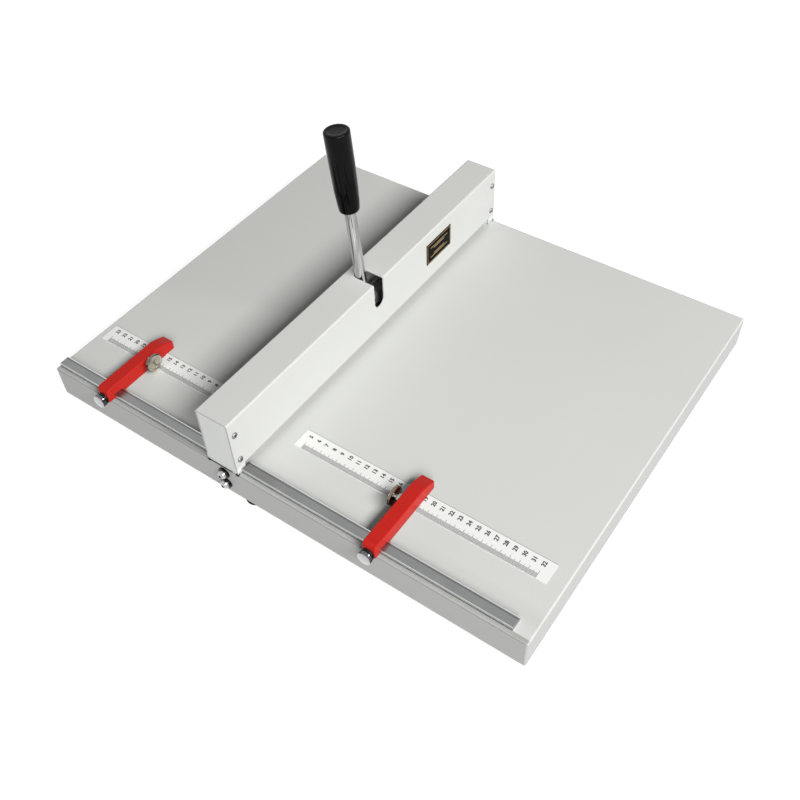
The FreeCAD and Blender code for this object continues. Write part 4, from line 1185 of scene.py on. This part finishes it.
# %% Name plate
BORDER_MARGIN = 0.9 * MM
BORDER_WIDTH = 0.55 * MM
PLATE_RELIEF = 0.12 * MM
PLATE_ROUND = 0.25 * MM
FACING_FRONT = 0.99

low, high = (Vector(corner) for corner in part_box("badge_plate"))
middle = (low + high) / 2
size = high - low
plate = scaled_cube(middle, size)
plate.name = "name_plate"
bevel_edges(plate, PLATE_ROUND, 3, limit_method="ANGLE")
choose_faces(plate, lambda centre, normal: normal.x > FACING_FRONT)
bpy.ops.mesh.inset(thickness=BORDER_MARGIN)
bpy.ops.mesh.inset(thickness=BORDER_WIDTH)
bpy.ops.mesh.extrude_region_move(TRANSFORM_OT_translate={"value": (-PLATE_RELIEF, 0, 0)})
bpy.ops.object.mode_set(mode="OBJECT")
print("plate", [round(side / MM, 1) for side in size], "mm")

# %% Gilt border
def off_edge(distance):
    """Half the plate's size, less a distance from its edge."""
    return size / 2 - Vector((0, distance, distance))


border_outside = off_edge(BORDER_MARGIN)
border_inside = off_edge(BORDER_MARGIN + BORDER_WIDTH)


def on_border(centre, normal):
    """True for the faces of the border strip on the plate's front."""
    away = centre - middle
    within = abs(away.y) < border_outside.y and abs(away.z) < border_outside.z
    beyond = abs(away.y) > border_inside.y or abs(away.z) > border_inside.z
    return normal.x > FACING_FRONT and within and beyond


strips = choose_faces(plate, on_border)
bpy.ops.mesh.duplicate()
bpy.ops.mesh.separate(type="SELECTED")
bpy.ops.object.mode_set(mode="OBJECT")
border = [piece for piece in bpy.context.selected_objects if piece is not plate][0]
border.name = "name_plate_border"
select_only(border)
raised = border.modifiers.new("raise", "SOLIDIFY")
raised.thickness = PLATE_RELIEF
raised.offset = 1.0
bpy.ops.object.modifier_apply(modifier=raised.name)
hand_over(plate, "base", "badge_black", ["badge_plate"])
hand_over(border, "base", "bush_bronze", finish="gilt")
print("border strips:", strips)

# %% Gilt rules
# each: place above the middle and length, in millimetres
RULES = ((6.5, 34.0), (3.9, 22.0), (-3.9, 22.0), (-6.5, 34.0))
RULE_HEIGHT = 0.85
RULE_ROUND = 0.04 * MM

rules = []
for above, length in RULES:
    rule_spot = (high.x, middle.y, middle.z + above * MM)
    rule = scaled_cube(rule_spot, (2 * PLATE_RELIEF, length * MM, RULE_HEIGHT * MM))
    bevel_edges(rule, RULE_ROUND, 2)
    rules.append(rule)
hand_over(join_pieces("name_plate_rules", rules), "base", "bush_bronze", finish="gilt")

# %% [markdown]
# ## The rulers' print
# The rulers are white strips with millimetre marks along the outer edge and a number
# for each centimetre. The print could be a texture, but here it is thin raised ink,
# so it stays sharp close up. One tick is modelled for each length and an array
# repeats it. The numbers are text, turned into mesh and set across the strip.

# %% Ticks
RULER_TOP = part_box("front_ruler")[1][2]
TICK_EDGE_Y = -0.1797
TICK_KINDS = (
    # every (mm), length, width, ink height
    (1, 5.6, 0.60, 0.030),
    (5, 7.2, 0.42, 0.036),
    (10, 8.6, 0.48, 0.042),
)
RULERS = {"front": (50, 320), "rear": (-230, -50)}


def print_ticks(name, first, last):
    """All ticks of one ruler, from one position along X to another, in millimetres."""
    rows = []
    for every, length, width, ink in TICK_KINDS:
        spot = (first * MM, TICK_EDGE_Y + length * MM / 2, RULER_TOP + ink * MM / 2)
        tick = scaled_cube(spot, (width * MM, length * MM, ink * MM))
        row = tick.modifiers.new("row", "ARRAY")
        row.use_relative_offset = False
        row.use_constant_offset = True
        row.constant_offset_displace = (every * MM, 0, 0)
        row.count = (last - first) // every + 1
        bpy.ops.object.modifier_apply(modifier=row.name)
        rows.append(tick)
    return join_pieces(name, rows)


for gauge, (first, last) in RULERS.items():
    ticks = print_ticks(f"{gauge}_ruler_ticks", first, last)
    hand_over(ticks, "base", "ruler_film", smooth=1, finish="tick_ink")

# %% Numbers
NUMBER_Y = -0.1625
NUMBER_SIZE = 6.0
NUMBER_INK = 0.03
NUMBER_WEIGHT = 0.26
ACROSS = (0, 0, math.radians(90))


def print_number(value, x):
    """One number in thin ink, centred on a spot, its foot towards the front."""
    start_clean()
    bpy.ops.object.text_add()
    label = bpy.context.object
    label.data.body = str(value)
    label.data.size = NUMBER_SIZE * MM
    label.data.align_x = "CENTER"
    label.data.align_y = "CENTER"
    label.data.extrude = NUMBER_INK * MM / 2
    label.data.resolution_u = 2
    label.data.offset = NUMBER_WEIGHT * MM
    bpy.ops.object.convert(target="MESH")
    return seat(label, (x * MM, NUMBER_Y, RULER_TOP + NUMBER_INK * MM / 2), ACROSS)


for gauge, (first, last) in RULERS.items():
    labels = [print_number(abs(x) // 10, x) for x in range(first, last + 1, 10)]
    numbers = join_pieces(f"{gauge}_ruler_numbers", labels)
    hand_over(numbers, "base", "ruler_film", smooth=1, finish="ruler_ink")

# %% [markdown]
# ## Finishing
# The last step leaves object mode with nothing selected and updates the view layer.

# %% Finish
start_clean()
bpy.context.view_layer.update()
